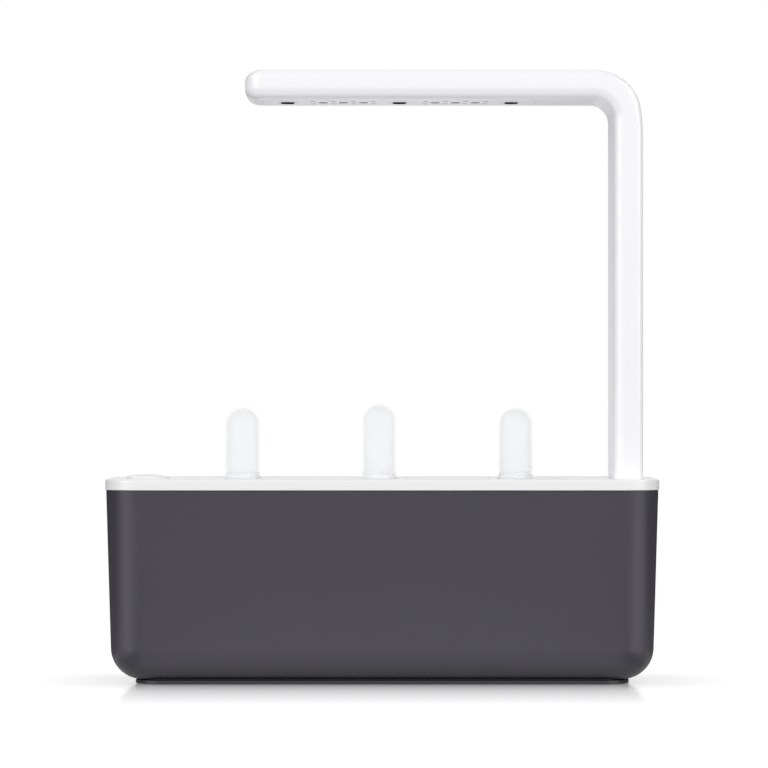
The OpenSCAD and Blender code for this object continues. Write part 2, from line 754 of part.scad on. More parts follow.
module soil_plug(i) color("#3a2a1e") translate([pod_x(i), 0, pod_up(i)]) {
    low = pod_low_z + pod_wall;
    high = pod_rim_z - soil_sink;
    lean = (pod_r - pod_low_r) / (pod_rim_z - pod_low_z);
    inset = pod_wall + soil_fit;
    taper_oblong(pod_y, pod_low_r - inset, pod_r - inset - lean * soil_sink, low, high);
}

// Half profile of a dome inside a wall of the given thickness: an upright skirt, then a leaning
// side under a round crown
module dome_profile(wall, low) {
    crown = pod_r - dome_taper - wall;
    crown_z = lid_top + dome_h - wall - crown;
    side = pod_r - wall;
    polygon([[0, low], [side, low], [side, lid_top], [crown, crown_z], [0, crown_z]]);
    intersection() {
        translate([0, crown_z]) circle(crown);
        translate([0, crown_z - over]) square([crown, crown + over]);
    }
}

module germination_dome(i) color(frost) translate([pod_x(i), 0, pod_up(i)]) difference() {
    union() {
        around(0, pod_y, 0, 0) dome_profile(0, pod_rim_z + seat_fit);
        translate([0, 0, lid_top + seat_fit]) oblong(pod_r + dome_lip, pod_y, dome_lip_h);
    }
    around(0, pod_y, 0, 0) dome_profile(dome_wall, pod_rim_z - over);
}

// ---- Arm ----

// Section of the arm, x from its inner to its outer face, grown by g
module arm_section(g) {
    w = arm_w / 2;
    translate([edge_in, -w - g]) square([arm_t - edge_in - edge_out, 2 * (w + g)]);
    translate([-g, edge_in - w]) square([edge_in + g, 2 * (w - edge_in)]);
    translate([arm_t - edge_out, edge_out - w]) square([edge_out + g, 2 * (w - edge_out)]);
    for (s = [-1, 1]) {
        translate([edge_in, s * (w - edge_in)]) circle(edge_in + g);
        translate([arm_t - edge_out, s * (w - edge_out)]) circle(edge_out + g);
    }
}

// A length of column
module column(g, low, high)
    translate([arm_x0, 0, low]) linear_extrude(high - low) arm_section(g);

// The lamp's whole outline above the seam, grown by g: column, bend, and a slab with a round tip
module lamp_form(g, low) {
    column(g, low, bend_z);
    translate([bend_x, 0, bend_z]) rotate([90, 0, 0])
        rotate_extrude(angle = 90) translate([bend_r, 0]) arm_section(g);
    intersection() {
        translate([bend_x, 0, lamp_under]) rotate([0, -90, 0])
            linear_extrude(bend_x - tip_x + arm_t) arm_section(g);
        // Side view: a full round nose
        translate([0, arm_w, 0]) rotate([90, 0, 0]) linear_extrude(2 * arm_w) {
            translate([tip_x + arm_t / 2, lamp_under + arm_t / 2]) circle(arm_t / 2 + g);
            translate([tip_x + arm_t / 2, lamp_under - g])
                square([bend_x - tip_x - arm_t / 2 + over, arm_t + 2 * g]);
        }
        // Plan: rounded corners
        translate([0, 0, lamp_under - arm_t]) linear_extrude(3 * arm_t) {
            for (s = [-1, 1]) translate([tip_x + tip_corner, s * (arm_w / 2 - tip_corner)])
                circle(tip_corner + g);
            translate([tip_x - g - over, tip_corner - arm_w / 2])
                square([arm_w, arm_w - 2 * tip_corner]);
            translate([tip_x + tip_corner, -arm_w / 2 - g])
                square([bend_x - tip_x - tip_corner + over, arm_w + 2 * g]);
        }
    }
}

module extension_arm() color(white) difference() {
    column(0, seat_z, seam_z - seam_gap);
    column(-arm_wall, seat_z - over, seam_z + over);
}

// Block in the column's foot, with a pocket for the base connector's tongue
module extension_plug() color(black) difference() {
    column(-arm_wall, seat_z, seat_z + plug_in + spigot_l);
    translate([column_x - spigot_x / 2 - plug_fit, -spigot_y / 2 - plug_fit, seat_z - over])
        cube([spigot_x + 2 * plug_fit, spigot_y + 2 * plug_fit, spigot_l + plug_fit + over]);
    contact_places() translate([0, 0, seat_z]) cylinder(d = sleeve_d, h = tank_h);
}

module extension_socket() color(black) difference() {
    column(-arm_wall, socket_top - socket_t, socket_top);
    contact_places() translate([0, 0, socket_top - tank_h]) cylinder(d = sleeve_d, h = 2 * tank_h);
}

module extension_contacts() color(brass) contact_places() {
    translate([0, 0, seat_z + spigot_l + plug_fit]) contact_sleeve();
    translate([0, 0, socket_top]) mirror([0, 0, 1]) contact_sleeve();
}

module extension_lead() color("firebrick") {
    low = seat_z + spigot_l + plug_fit + sleeve_l;
    contact_places() translate([0, 0, low]) cylinder(d = wire_d, h = socket_top - sleeve_l - low);
}

// ---- Lamp ----

module lamp_screw_places() {
    for (k = [-1, 0, 1]) translate([panel_x + k * screw_pitch, 0, lamp_under]) children();
}

module timer_posts() {
    for (x = [timer_x + timer_post_d, timer_x + timer_l - timer_post_d], s = [-1, 1])
        translate([x, s * (timer_w / 2 - timer_post_d), 0]) children();
}

module lamp_arm() color(white) difference() {
    lamp_form(0, seam_z);
    difference() {
        lamp_form(-arm_wall, seam_z - over);
        lamp_screw_places() translate([0, 0, well_top]) cylinder(d = boss_d, h = arm_t);
        timer_posts() translate([0, 0, timer_z + board_t]) cylinder(d = timer_post_d, h = arm_t);
    }
    translate([panel_x, 0, lamp_under - over])
        plate(panel_l + 2 * plug_fit, panel_w + 2 * plug_fit, panel_r + plug_fit, arm_wall + 2 * over);
    lamp_screw_places() translate([0, 0, well_top - over])
        cylinder(d = shank_d + 2 * screw_fit, h = arm_t - arm_wall - well_top + over);
}

// Places of the lights: rows 0, 2, 4 ... hold a pair, and the others hold a single light
module led_places(paired) {
    for (side = [-1, 1], k = [0 : led_rows - 1])
        if ((k % 2 == 0) == paired)
            for (y = paired ? [-led_pair_y, led_pair_y] : [0])
                translate([panel_x + side * led_group_x + (k - (led_rows - 1) / 2) * led_pitch, y, 0])
                    children();
}

module lamp_panel() color(white) difference() {
    translate([panel_x, 0, lamp_under]) {
        plate(panel_l, panel_w, panel_r, panel_t);
        for (k = [-1, 0, 1]) translate([k * screw_pitch, 0, 0])
            cylinder(d = well_out_d, h = well_top - seat_fit);
    }
    lamp_screw_places() {
        translate([0, 0, -over]) cylinder(d = dish_d, h = over + dish_h);
        translate([0, 0, -over]) cylinder(d = well_d, h = over + head_seat);
        cylinder(d = shank_d + 2 * screw_fit, h = arm_t);
    }
    for (paired = [true, false]) led_places(paired) translate([0, 0, lamp_under - over])
        cylinder(d = paired ? pair_hole_d : single_hole_d, h = panel_t + 2 * over);
}

module lamp_screws() color(black)
    lamp_screw_places() translate([0, 0, head_seat])
        screw(head_d, head_t, shank_d, screw_l);

module led_board() color("seagreen") difference() {
    translate([panel_x, 0, board_z]) plate(board_l, board_w, board_r, board_t);
    lamp_screw_places() cylinder(d = well_out_d + 2 * plug_fit, h = arm_t);
}

module light() translate([-led_w / 2, -led_w / 2, board_z - led_t]) cube([led_w, led_w, led_t]);

module white_leds() color("lightyellow") led_places(true) light();

module red_leds() color("lightcoral") led_places(false) light();

// Tongue at the column's lower end, which plugs into the extension and is hollow for the wires
module lamp_plug() color(black) difference() {
    hollow = [6, arm_w - 24, tongue_l + plug_in];
    union() {
        column(-arm_wall - plug_fit, tongue_z, seam_z + over);
        column(-arm_wall, seam_z, seam_z + plug_in);
    }
    translate([column_x - hollow[0] / 2, -hollow[1] / 2, lead_z]) cube(hollow);
}

module lamp_contacts() color(brass) contact_places()
    translate([0, 0, tongue_z]) mirror([0, 0, 1]) contact_pin();

// Two wires up the column and round the bend to the timer board
module lamp_lead() color("firebrick") for (s = [-1, 1]) {
    y = s * contact_pitch / 2;
    middle = bend_r + arm_t / 2;
    end_x = timer_x + timer_l;
    translate([column_x, y, lead_z]) cylinder(d = wire_d, h = bend_z - lead_z);
    translate([bend_x, y, bend_z]) rotate([90, 0, 0])
        rotate_extrude(angle = 90) translate([middle, 0]) circle(d = wire_d);
    translate([end_x, y, bend_z + middle]) rotate([0, 90, 0]) cylinder(d = wire_d, h = bend_x - end_x);
}

// Board that switches the light on and off by itself, on two pins over the light board. It
// carries a chip and a round capacitor.
module timer_board() color("darkgreen") translate([timer_x, 0, timer_z]) {
    chip = [10, 10, 1.6];
    cap_place = [30, 4, board_t];
    pin_place = [5, 12];
    rise = timer_z - board_z - board_t;
    translate([timer_l / 2, 0, 0]) plate(timer_l, timer_w, board_r, board_t);
    translate([chip[0], -chip[1] / 2, board_t]) cube(chip);
    translate(cap_place) cylinder(d = 5, h = 3);
    for (s = [-1, 1]) translate([pin_place[0], s * pin_place[1], -rise]) cylinder(d = 1.2, h = rise);
}

water_tank();
base_plate();
rubber_feet();
base_screws();
power_inlet();
inlet_pin();
base_connector();
base_contacts();
connector_screws();
base_harness();
lid();
float_guide();
guide_screws();
float_cap();
float_stem();
float_bob();
pod_cup(0);  // pod_cup_left
pod_cup(1);  // pod_cup_middle
pod_cup(2);  // pod_cup_right
wick(0);  // wick_left
wick(1);  // wick_middle
wick(2);  // wick_right
plant_pod(0);  // plant_pod_left
plant_pod(1);  // plant_pod_middle
plant_pod(2);  // plant_pod_right
soil_plug(0);  // soil_plug_left
soil_plug(1);  // soil_plug_middle
soil_plug(2);  // soil_plug_right
germination_dome(0);  // germination_dome_left
germination_dome(1);  // germination_dome_middle
germination_dome(2);  // germination_dome_right
extension_arm();
extension_plug();
extension_socket();
extension_contacts();
extension_lead();
lamp_arm();
lamp_panel();
lamp_screws();
led_board();
white_leds();
red_leds();
lamp_plug();
lamp_contacts();
lamp_lead();
timer_board();
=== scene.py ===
"""Countertop hydroponic garden: tank, lid, pods under domes, water-level float and a lamp on an arm."""

import json
import math

import bmesh
import bpy
from bpy.props import FloatProperty, FloatVectorProperty, IntProperty, PointerProperty
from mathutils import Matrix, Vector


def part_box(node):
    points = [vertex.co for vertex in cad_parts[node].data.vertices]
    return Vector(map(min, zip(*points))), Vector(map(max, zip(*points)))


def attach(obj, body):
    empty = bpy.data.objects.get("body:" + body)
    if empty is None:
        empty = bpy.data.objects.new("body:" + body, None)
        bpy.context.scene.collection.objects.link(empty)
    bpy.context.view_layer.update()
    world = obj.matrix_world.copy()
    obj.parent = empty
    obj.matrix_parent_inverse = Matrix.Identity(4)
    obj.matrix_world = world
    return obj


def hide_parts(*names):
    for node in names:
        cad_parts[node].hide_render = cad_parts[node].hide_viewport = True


bl_info = {
    "name": "Countertop hydroponic garden",
    "version": (1, 0, 0),
    "blender": (4, 5, 0),
    "location": "3D View > Sidebar > Garden",
    "description": "Models a self-watering countertop garden with a lamp on an arm",
    "category": "Object",
}

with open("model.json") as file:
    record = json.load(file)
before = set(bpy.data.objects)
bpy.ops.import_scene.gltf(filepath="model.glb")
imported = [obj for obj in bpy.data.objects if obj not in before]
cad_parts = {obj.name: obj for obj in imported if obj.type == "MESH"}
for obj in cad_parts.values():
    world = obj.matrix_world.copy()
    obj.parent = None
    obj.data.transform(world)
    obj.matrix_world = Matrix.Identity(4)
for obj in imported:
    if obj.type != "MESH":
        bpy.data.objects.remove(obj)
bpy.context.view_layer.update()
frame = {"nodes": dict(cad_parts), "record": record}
MM = 0.001
POD_SIDES = ("left", "middle", "right")
SIDEWAYS = (math.radians(-90), 0, 0)
WHITE = (1, 1, 1, 1)


# ---- Places taken from the frame ----

LID_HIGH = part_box("lid")[1]
LID_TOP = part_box("pod_cup_left")[1].z
COLUMN_LOW, COLUMN_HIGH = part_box("extension_arm")
LAMP_LOW, LAMP_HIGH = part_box("lamp_arm")
PANEL_LOW, PANEL_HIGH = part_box("lamp_panel")
ARM_THICK, ARM_WIDE = COLUMN_HIGH.x - COLUMN_LOW.x, COLUMN_HIGH.y - COLUMN_LOW.y
# The first of the six base screws, and the shifts from it to the others
BASE_SCREW = (-94 * MM, -34 * MM)
BASE_SHIFTS = [(x * MM, y * MM, 0) for x in (0, 89, 178) for y in (0, 68)][1:]


def middle(node):
    """Middle of a node's box."""
    low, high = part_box(node)
    return (low + high) / 2


# ---- Sizes and colours ----


def length(name, description, mm):
    """A length that the user may change, given in millimetres."""
    return FloatProperty(name=name, description=description, default=mm * MM, unit="LENGTH", min=0)


def angle(name, description, degrees):
    """An angle that the user may change, given in degrees."""
    return FloatProperty(name=name, description=description, default=math.radians(degrees), subtype="ANGLE")


def amount(name, description, value, **more):
    """A strength, share or other plain number that the user may change."""
    return FloatProperty(name=name, description=description, default=value, **more)


def colour(name, description, code):
    """A colour that the user may change, given as an sRGB hex value."""
    return FloatVectorProperty(
        name=name, description=description, default=linear(code), subtype="COLOR", size=4, min=0, max=1
    )


def linear(code):
    """The linear colour of an sRGB hex value."""
    parts = [int(code[i : i + 2], 16) / 255 for i in (1, 3, 5)]
    return (*(p / 12.92 if p <= 0.04045 else ((p + 0.055) / 1.055) ** 2.4 for p in parts), 1.0)


class TankSettings(bpy.types.PropertyGroup):
    """Sizes and colour of the tank and its base."""

    rim: length("Length at the rim", "Length of the tank across its rim", 299.6)
    depth: length("Depth at the rim", "Depth of the tank across its rim", 124)
    rim_height: length("Rim height", "Height of the rim over the table", 105.5)
    underside: length("Underside", "Height of the tank's underside over the table", 3)
    corner: length("Corner radius", "Radius of the upright corners at the rim", 21)
    lean: angle("Lean", "Lean of the walls", 1.7)
    foot: length("Foot radius", "Radius of the rounded edge round the underside", 17)
    wall: length("Wall", "Thickness of the walls", 2.4)
    rim_edge: length("Rim edge radius", "Radius of the edge under the lid's shadow gap", 0.4)
    socket_wall: length("Socket wall", "Thickness of the walls of the arm's socket", 2)
    socket_gap: length("Socket gap", "Gap round the arm in its socket", 0.5)
    plinth_step: length("Plinth step", "How far the plinth's upper step stands in", 5)
    plinth_corner: length("Plinth corner", "Radius of the plinth's corners", 16)
    grain: length("Grain", "Size of the fine grain on the moulded surface", 0.35)
    colour: colour("Colour", "Colour of the tank", "#323038")
    # The base plate's colour is darker than the tank's as painted shade under the tank's overhang
    base_colour: colour("Base colour", "Colour of the base plate", "#26252B")


class LidSettings(bpy.types.PropertyGroup):
    """Sizes of the lid."""

    length: length("Length", "Length of the lid", 300.6)
    depth: length("Depth", "Depth of the lid", 125)
    corner: length("Corner radius", "Radius of the lid's corners", 21.5)
    edge: length("Edge radius", "Radius of the upper edge", 1.2)
    lip: length("Lip radius", "Radius of the skirt's lower edge", 0.1)
    skirt: length("Skirt", "Thickness of the skirt", 1.3)
    skirt_low: length("Skirt's edge", "Height of the skirt's lower edge", 105.65)
    plate: length("Plate", "Thickness of the lid plate", 2.6)
    collar: length("Collar", "Thickness of the collars under the lid", 1.2)


class FloatSettings(bpy.types.PropertyGroup):
    """Sizes of the water-level float."""

    width: length("Cap width", "Width of the float cap", 22)
    length: length("Cap length", "Length of the float cap, front to back", 44)
    crown: length("Crown", "Height of the crown above the cap's edge", 1.5)
    bow: length("Bow", "How far the cap's crown falls off to its front and back", 1.4)
    side: length("Side", "Height of the cap's side", 5)
    tilt: angle("Tilt", "How far the cap leans in its port", 1.6)
    gap: length("Port gap", "Gap round the cap in its port", 0.5)
    post: length("Post", "Diameter of the stem's posts", 4)
    post_y: length("Post distance", "Distance of a post from the middle", 7.7)


class PodSettings(bpy.types.PropertyGroup):
    """Sizes of the cups, plant pods and domes."""

    cup_width: length("Cup width", "Inner width of a cup's mouth", 20)
    cup_length: length("Cup length", "Inner length of a cup's mouth", 45)
    cup_wall: length("Cup wall", "Thickness of a cup's wall", 1.1)
    cup_taper: length("Cup taper", "How much a cup narrows on each side", 1.6)
    flange: length("Flange", "Width of the flange that carries a cup", 4.5)
    flange_height: length("Flange thickness", "Thickness of that flange", 1.2)
    pod_width: length("Pod width", "Width of a plant pod at its rim", 19)
    pod_length: length("Pod length", "Length of a plant pod at its rim", 44)
    pod_wall: length("Pod wall", "Thickness of a plant pod's wall", 0.9)
    dome_width: length("Dome width", "Width of a dome at its foot", 18)
    dome_length: length("Dome length", "Length of a dome at its foot", 44)
    dome_taper: length("Dome taper", "How much a dome narrows on each side", 0.2)
    dome_wall: length("Dome wall", "Thickness of a dome's wall", 1)
    dome_lip: length("Dome lip", "Width of the lip round a dome's foot", 0.2)
    crumb: length("Crumb", "Size of the crumbs in the soil", 2.2)


class ArmSettings(bpy.types.PropertyGroup):
    """Sizes of the column and the lamp's shell."""

    inner_edge: length("Inner edge radius", "Edge radius on the inner and lower side", 6.5)
    outer_edge: length("Outer edge radius", "Edge radius on the outer and upper side", 4.2)
    bend: length("Bend radius", "Inside radius of the bend", 10.5)
    wall: length("Wall", "Thickness of the hollow shells", 2)
    tip_corner: length("Tip corner", "Radius of the tip's corners, seen from above", 11)
    tip_out: length("Tip", "How far the lamp's nose stands out beyond its constructed tip", 0.3)
    nose_long: length("Nose length", "Length over which the nose's upper edge falls off", 10)
    nose_drop: length("Nose drop", "Height by which the nose's upper edge falls off", 6.5)
    seam_fill: length("Seam fill", "How much of the constructed seam the column's wall closes", 0.27)
    seam_edge: length("Seam edge", "Radius of the edges at the seam", 0.06)
    ease: length("Ease", "How far the bend's outer side draws in under its crown", 0.6)


class PanelSettings(bpy.types.PropertyGroup):
    """Sizes of the light panel."""

    corner: length("Corner radius", "Radius of the panel's corners", 6)
    plate: length("Plate", "Thickness of the panel", 1.8)
    screw_pitch: length("Screw distance", "Distance between neighbouring screws", 61.4)
    dish: length("Dish", "Diameter of the dished ring round a screw", 11.4)
    well: length("Screw seat", "Diameter of the seat for a screw's head", 7.6)
    head: length("Screw head", "Diameter of a screw's head", 7.2)
    shank: length("Screw shank", "Diameter of a screw's shank", 2.4)
    row_pitch: length("Row distance", "Distance between neighbouring rows of lights", 5.5)
    rows: IntProperty(name="Rows", description="Number of rows of lights in a group", default=7, min=1)
    pair_y: length("Pair distance", "Distance of the paired lights from the middle", 13)
    pair_hole: length("Pair opening", "Diameter of the openings for paired lights", 3.4)
    single_hole: length("Single opening", "Diameter of the openings for single lights", 5)
    # The black linings of the lights' openings are painted shade
    hood: length("Hood", "Thickness of the black hood that lines an opening", 0.4)
    hood_out: length("Hood height", "How far a single light's hood stands out of the panel", 0.22)
    light: length("Light", "Width of a light", 2.4)


class FinishSettings(bpy.types.PropertyGroup):
    """Colours of the smaller finishes."""

    white: colour("White", "Colour of the white mouldings", "#F1F1F4")
    lid_white: colour("Lid white", "Colour of the lid and the float cap", "#ECEBEB")
    frost: colour("Frost", "Colour of the domes", "#F1F3F5")
    black: colour("Black", "Colour of the black mouldings", "#1D1D20")
    wire: colour("Wire", "Colour of the wires", "#B0382E")
    coir: colour("Coir", "Colour of the plant pods", "#7A5636")
    soil: colour("Soil", "Colour of the soil", "#33241A")
    felt: colour("Felt", "Colour of the wicks", "#E4DEC9")


class StageSettings(bpy.types.PropertyGroup):
    """The floor, the light and the camera."""

    floor: colour("Floor", "Colour of the floor", "#B4B4B6")
    world: amount("World", "Strength of the even light", 0.42, min=0)
    front: amount("Front lamp", "Power of the front lamp, in watts", 39.5)
    overhead: amount("Overhead", "Strength of the further light from above", 0.22)
    sides: amount("Sides", "Strength of the even light from both sides", 1.27)
    flags: amount("Flags", "How bright the dark flags to both sides look", 0.02)
    panels: amount("Panels", "How bright the panels in front of those flags look", 8)
    lens: amount("Lens", "Focal length", 278.66, unit="CAMERA")
    distance: length("Distance", "Distance of the camera from the middle of the object", 3267)
    aside: length("Aside", "How far the camera stands to the right of the middle", 0.94)
    height: length("Height", "Height of the camera over the table", 163)
    fill: amount("Fill", "How far the floor is lifted to white", 0.72, min=0)
    shade_reach: length("Shade reach", "Distance over which that fill fades in", 75)
    mirror: amount("Mirror", "Share of the floor's gloss at the plinth", 0.8)
    mirror_reach: length("Mirror reach", "Distance at which the floor's gloss is gone", 262)


SETTINGS = {
    "tank": TankSettings,
    "lid": LidSettings,
    "float": FloatSettings,
    "pods": PodSettings,
    "arm": ArmSettings,
    "panel": PanelSettings,
    "finish": FinishSettings,
    "stage": StageSettings,
}


def settings(group):
    """The scene's own settings of a group."""
    return getattr(bpy.context.scene, "garden_" + group)


# ---- Shaping in edit mode ----


def clear():
    """Leaves edit mode and deselects everything."""
    if bpy.context.mode != "OBJECT":
        bpy.ops.object.mode_set(mode="OBJECT")
    bpy.ops.object.select_all(action="DESELECT")


def activate(obj):
    """Makes one object the only selected and the active one."""
    clear()
    obj.select_set(True)
    bpy.context.view_layer.objects.active = obj


def settle():
    """Applies the place, turn and size of the selected object."""
    bpy.ops.object.transform_apply(location=True, rotation=True, scale=True)


def pick(kind, test):
    """Selects the faces whose middle and normal pass a test, or the points whose place passes it."""
    bpy.ops.mesh.select_all(action="DESELECT")
    bpy.ops.mesh.select_mode(type=kind)
    mesh = bmesh.from_edit_mesh(bpy.context.object.data)
    if kind == "FACE":
        for face in mesh.faces:
            face.select_set(test(face.calc_center_median(), face.normal))
    else:
        for point in mesh.verts:
            point.select_set(test(point.co))
    bmesh.update_edit_mesh(bpy.context.object.data)


def pick_all_faces():
    """Selects every face."""
    bpy.ops.mesh.select_mode(type="FACE")
    bpy.ops.mesh.select_all(action="SELECT")


def merge_points():
    """Merges the points that lie on one another."""
    bpy.ops.mesh.select_all(action="SELECT")
    bpy.ops.mesh.remove_doubles(threshold=1e-6)


def open_plate(centre, size, radii, segments=12):
    """Opens edit mode on a level face. Its corners to the left and to the right have their own radii."""
    clear()
    bpy.ops.mesh.primitive_plane_add(size=1, location=centre)
    bpy.context.object.scale = (*size, 1)
    settle()
    bpy.ops.object.mode_set(mode="EDIT")
    for sign, radius in zip((-1, 1), radii):

        def at_corner(at):
            x, y = at.x - centre[0], at.y - centre[1]
            return x * sign > 0 and max(abs(abs(x) - size[0] / 2), abs(abs(y) - size[1] / 2)) < 1e-6

        pick("VERT", at_corner)
        bpy.ops.mesh.bevel(offset_type="OFFSET", offset=radius, segments=segments, affect="VERTICES")
    merge_points()
    pick_all_faces()


def open_disc(centre, radius, segments=32):
    """Opens edit mode on a level round face, with no point on the axes, so that form can stretch it."""
    clear()
    bpy.ops.mesh.primitive_circle_add(
        vertices=segments, radius=radius, fill_type="NGON", location=centre,
        rotation=(0, 0, math.pi / segments),
    )
    settle()
    bpy.ops.object.mode_set(mode="EDIT")
    pick_all_faces()


def arc(radius, start, end, steps):
    """Steps round an arc, in degrees: 0 goes along the wall and 90 across it."""
    turns = [math.radians(start + (end - start) * i / steps) for i in range(steps + 1)]
    return [
        (radius * (math.cos(a) - math.cos(b)), radius * (math.sin(b) - math.sin(a)))
        for a, b in zip(turns, turns[1:])
    ]


def hollow_arc(radius, start, end, steps):
    """The same arc inside a hollow, walked downwards."""
    return [(inwards, -along) for inwards, along in arc(radius, start, end, steps)]


def walk(steps):
    """Takes the selected face inwards and along its normal, step by step, and leaves walls behind it."""
    for inwards, along in steps:
        bpy.ops.mesh.inset(thickness=inwards, depth=along, use_even_offset=True)


def form(up=(), down=(), stretch=0.0):
    """Walks the open face up and its reverse side down, and closes the mesh.
    Its back and front halves are then drawn apart by the stretch, which makes a round form an oblong."""
    obj = bpy.context.object
    start = bmesh.from_edit_mesh(obj.data).faces[:][0].calc_center_median().z
    bpy.ops.mesh.duplicate()
    bpy.ops.mesh.flip_normals()
    walk(down)
    pick("FACE", lambda at, normal: normal.z > 0.9 and abs(at.z - start) < 1e-7)
    walk(up)
    merge_points()
    if stretch:
        for side in (-1, 1):
            pick("VERT", lambda at: at.y * side > 0)
            bpy.ops.transform.translate(value=(0, side * stretch, 0))
    bpy.ops.object.mode_set(mode="OBJECT")
    return obj


def box_tool(low, high):
    """A plain box between two corners, for cutting or joining."""
    centre = ((low[0] + high[0]) / 2, (low[1] + high[1]) / 2, low[2])
    open_plate(centre, (high[0] - low[0], high[1] - low[1]), (0.2 * MM, 0.2 * MM), 2)
    return form(up=[(0, high[2] - low[2])])


def round_tool(centre, diameter, height, segments=32):
    """A plain upright cylinder, for cutting or joining."""
    open_disc(centre, diameter / 2, segments)
    return form(up=[(0, height)])


def copies(obj, shifts):
    """The object and its copies, each shifted from it and with its own mesh."""
    made = [obj]
    for shift in shifts:
        activate(obj)
        bpy.ops.object.duplicate()
        bpy.ops.transform.translate(value=shift)
        settle()
        made.append(bpy.context.object)
    return made


def join(objs):
    """Joins objects into the first, or takes the only one there is."""
    activate(objs[0])
    for obj in objs:
        obj.select_set(True)
    if len(objs) > 1:
        bpy.ops.object.join()
    return bpy.context.object


def modify(obj, kind, **values):
    """Adds a modifier with its values and applies it."""
    activate(obj)
    bpy.ops.object.modifier_add(type=kind)
    modifier = obj.modifiers[-1]
    for key, value in values.items():
        setattr(modifier, key, value)
    bpy.ops.object.modifier_apply(modifier=modifier.name)


def carve(obj, *tools, operation="DIFFERENCE"):
    """Cuts tools out of an object, or joins them on, all at once, and removes them."""
    tool = join(tools)
    modify(obj, "BOOLEAN", object=tool, operation=operation, solver="EXACT")
    bpy.data.objects.remove(tool)


def set_down(obj, turn, place):
    """Turns an object that was modelled at the origin, puts it in place and applies both."""
    activate(obj)
    obj.rotation_euler = turn
    obj.location = place
    settle()


def piece(obj, name, body, slot, nodes, look=None, edge=0.0):
    """Finishes a piece: soft edges, smooth shading, its material, body and the nodes that it stands for."""
    obj.name = name
    if edge:
        modify(obj, "BEVEL", width=edge, segments=2, limit_method="ANGLE",
               angle_limit=math.radians(40), use_clamp_overlap=True)
    activate(obj)
    bpy.ops.object.shade_smooth_by_angle(angle=math.radians(35))
    modify(obj, "WEIGHTED_NORMAL", keep_sharp=True)
    obj.data.materials.clear()
    obj.data.materials.append(finish(look or slot))
    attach(obj, body)
    if nodes:
        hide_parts(*nodes)


# ---- Materials ----


def add(tree, kind, inputs=(), output=0, **values):
    """Adds a node with its values, sets or links its inputs, given in their order or by key, and returns
    one output, or all of them. A MapRange takes a value, the range it comes from and the range it goes to."""
    node = tree.nodes.new("ShaderNode" + kind)
    for key, value in values.items():
        setattr(node, key, value)
    for key, value in inputs.items() if isinstance(inputs, dict) else enumerate(inputs):
        if isinstance(value, bpy.types.NodeSocket):
            tree.links.new(value, node.inputs[key])
        else:
            node.inputs[key].default_value = value
    return node.outputs if output is None else node.outputs[output]


def blank(name, own=None):
    """A new material with its tree, its main shader with that shader's own values, and object coordinates."""
    material = bpy.data.materials.new(name)
    material.use_nodes = True
    tree = material.node_tree
    shader = tree.nodes["Principled BSDF"]
    for key, value in (own or {}).items():
        shader.inputs[key].default_value = value
    return material, tree, shader, add(tree, "TexCoord", output="Object")


def dress(tree, shader, base, darker, factor, relief=None, height=None):
    """Takes a shader's colour from base to a darker share of it by a factor, and raises its surface by that
    factor or by a height, with the strength and distance that relief gives. Returns the colour."""
    low = (*(part * darker for part in base[:3]), 1.0)
    shade = add(tree, "Mix", {0: factor, 6: tuple(base), 7: low}, 2, data_type="RGBA")
    tree.links.new(shade, shader.inputs["Base Color"])
    if relief:
        raised = add(tree, "Bump", {"Height": height or factor, "Strength": relief[0], "Distance": relief[1]})
        tree.links.new(raised, shader.inputs["Normal"])
    return shade


def plain(name, base, darker, own, size, inputs, relief=None, kind="TexNoise", **values):
    """A material with one pattern, whose cells measure size."""
    material, tree, shader, place = blank(name, own)
    pattern = add(tree, kind, {"Vector": place, "Scale": 1 / size, **inputs}, **values)
    dress(tree, shader, base, darker, pattern, relief)
    return material


def spark_grained_abs(name="spark_grained_abs", shade="colour", gloss=0.29):
    """Satin ABS moulded against a spark-eroded tool: a very fine even grain that spreads highlights."""
    material, tree, shader, place = blank(name, {"IOR": 1.5, "Specular IOR Level": gloss})
    tank = settings("tank")
    # The real grain is about 0.05 mm; drawn coarser so that it shows
    grain = add(tree, "TexNoise", {"Vector": place, "Scale": 1 / tank.grain, "Detail": 3.0, "Roughness": 0.6})
    speck = add(tree, "MapRange", (grain, 0.35, 0.7))
    dress(tree, shader, getattr(tank, shade), 0.9, speck, (0.12, 0.02 * MM), grain)
    # How the melt flowed in the mould makes wide patches a little glossier
    flow = add(tree, "TexNoise", {"Vector": place, "Scale": 1 / (60 * MM), "Detail": 2.0})
    tree.links.new(add(tree, "MapRange", (flow, 0.3, 0.7, 0.34, 0.39)), shader.inputs["Roughness"])
    return material


def base_grained_abs():
    """The base plate's ABS: the same grain, with its colour darkened as painted shade of the tank's overhang.
    """
    return spark_grained_abs("base_grained_abs", "base_colour", 0.25)


def polished_white_abs(name="polished_white_abs", shade="white"):
    """White ABS moulded against a polished tool: glossy, with the faint waviness of a moulding."""
    material, tree, shader, place = blank(name, {"IOR": 1.5})
    wave = add(tree, "TexNoise", {"Vector": place, "Scale": 1 / (14 * MM), "Detail": 1.0})
    dress(tree, shader, getattr(settings("finish"), shade), 0.985, wave, (0.15, 0.02 * MM))
    # The polish varies over about half a millimetre
    fine = add(tree, "TexNoise", {"Vector": place, "Scale": 1 / (0.6 * MM), "Detail": 2.0})
    tree.links.new(add(tree, "MapRange", (fine, 0.3, 0.7, 0.27, 0.33)), shader.inputs["Roughness"])
    return material


def lid_white_abs():
    """The lid's white ABS: the same gloss in a slightly warmer batch."""
    return polished_white_abs("lid_white_abs", "lid_white")


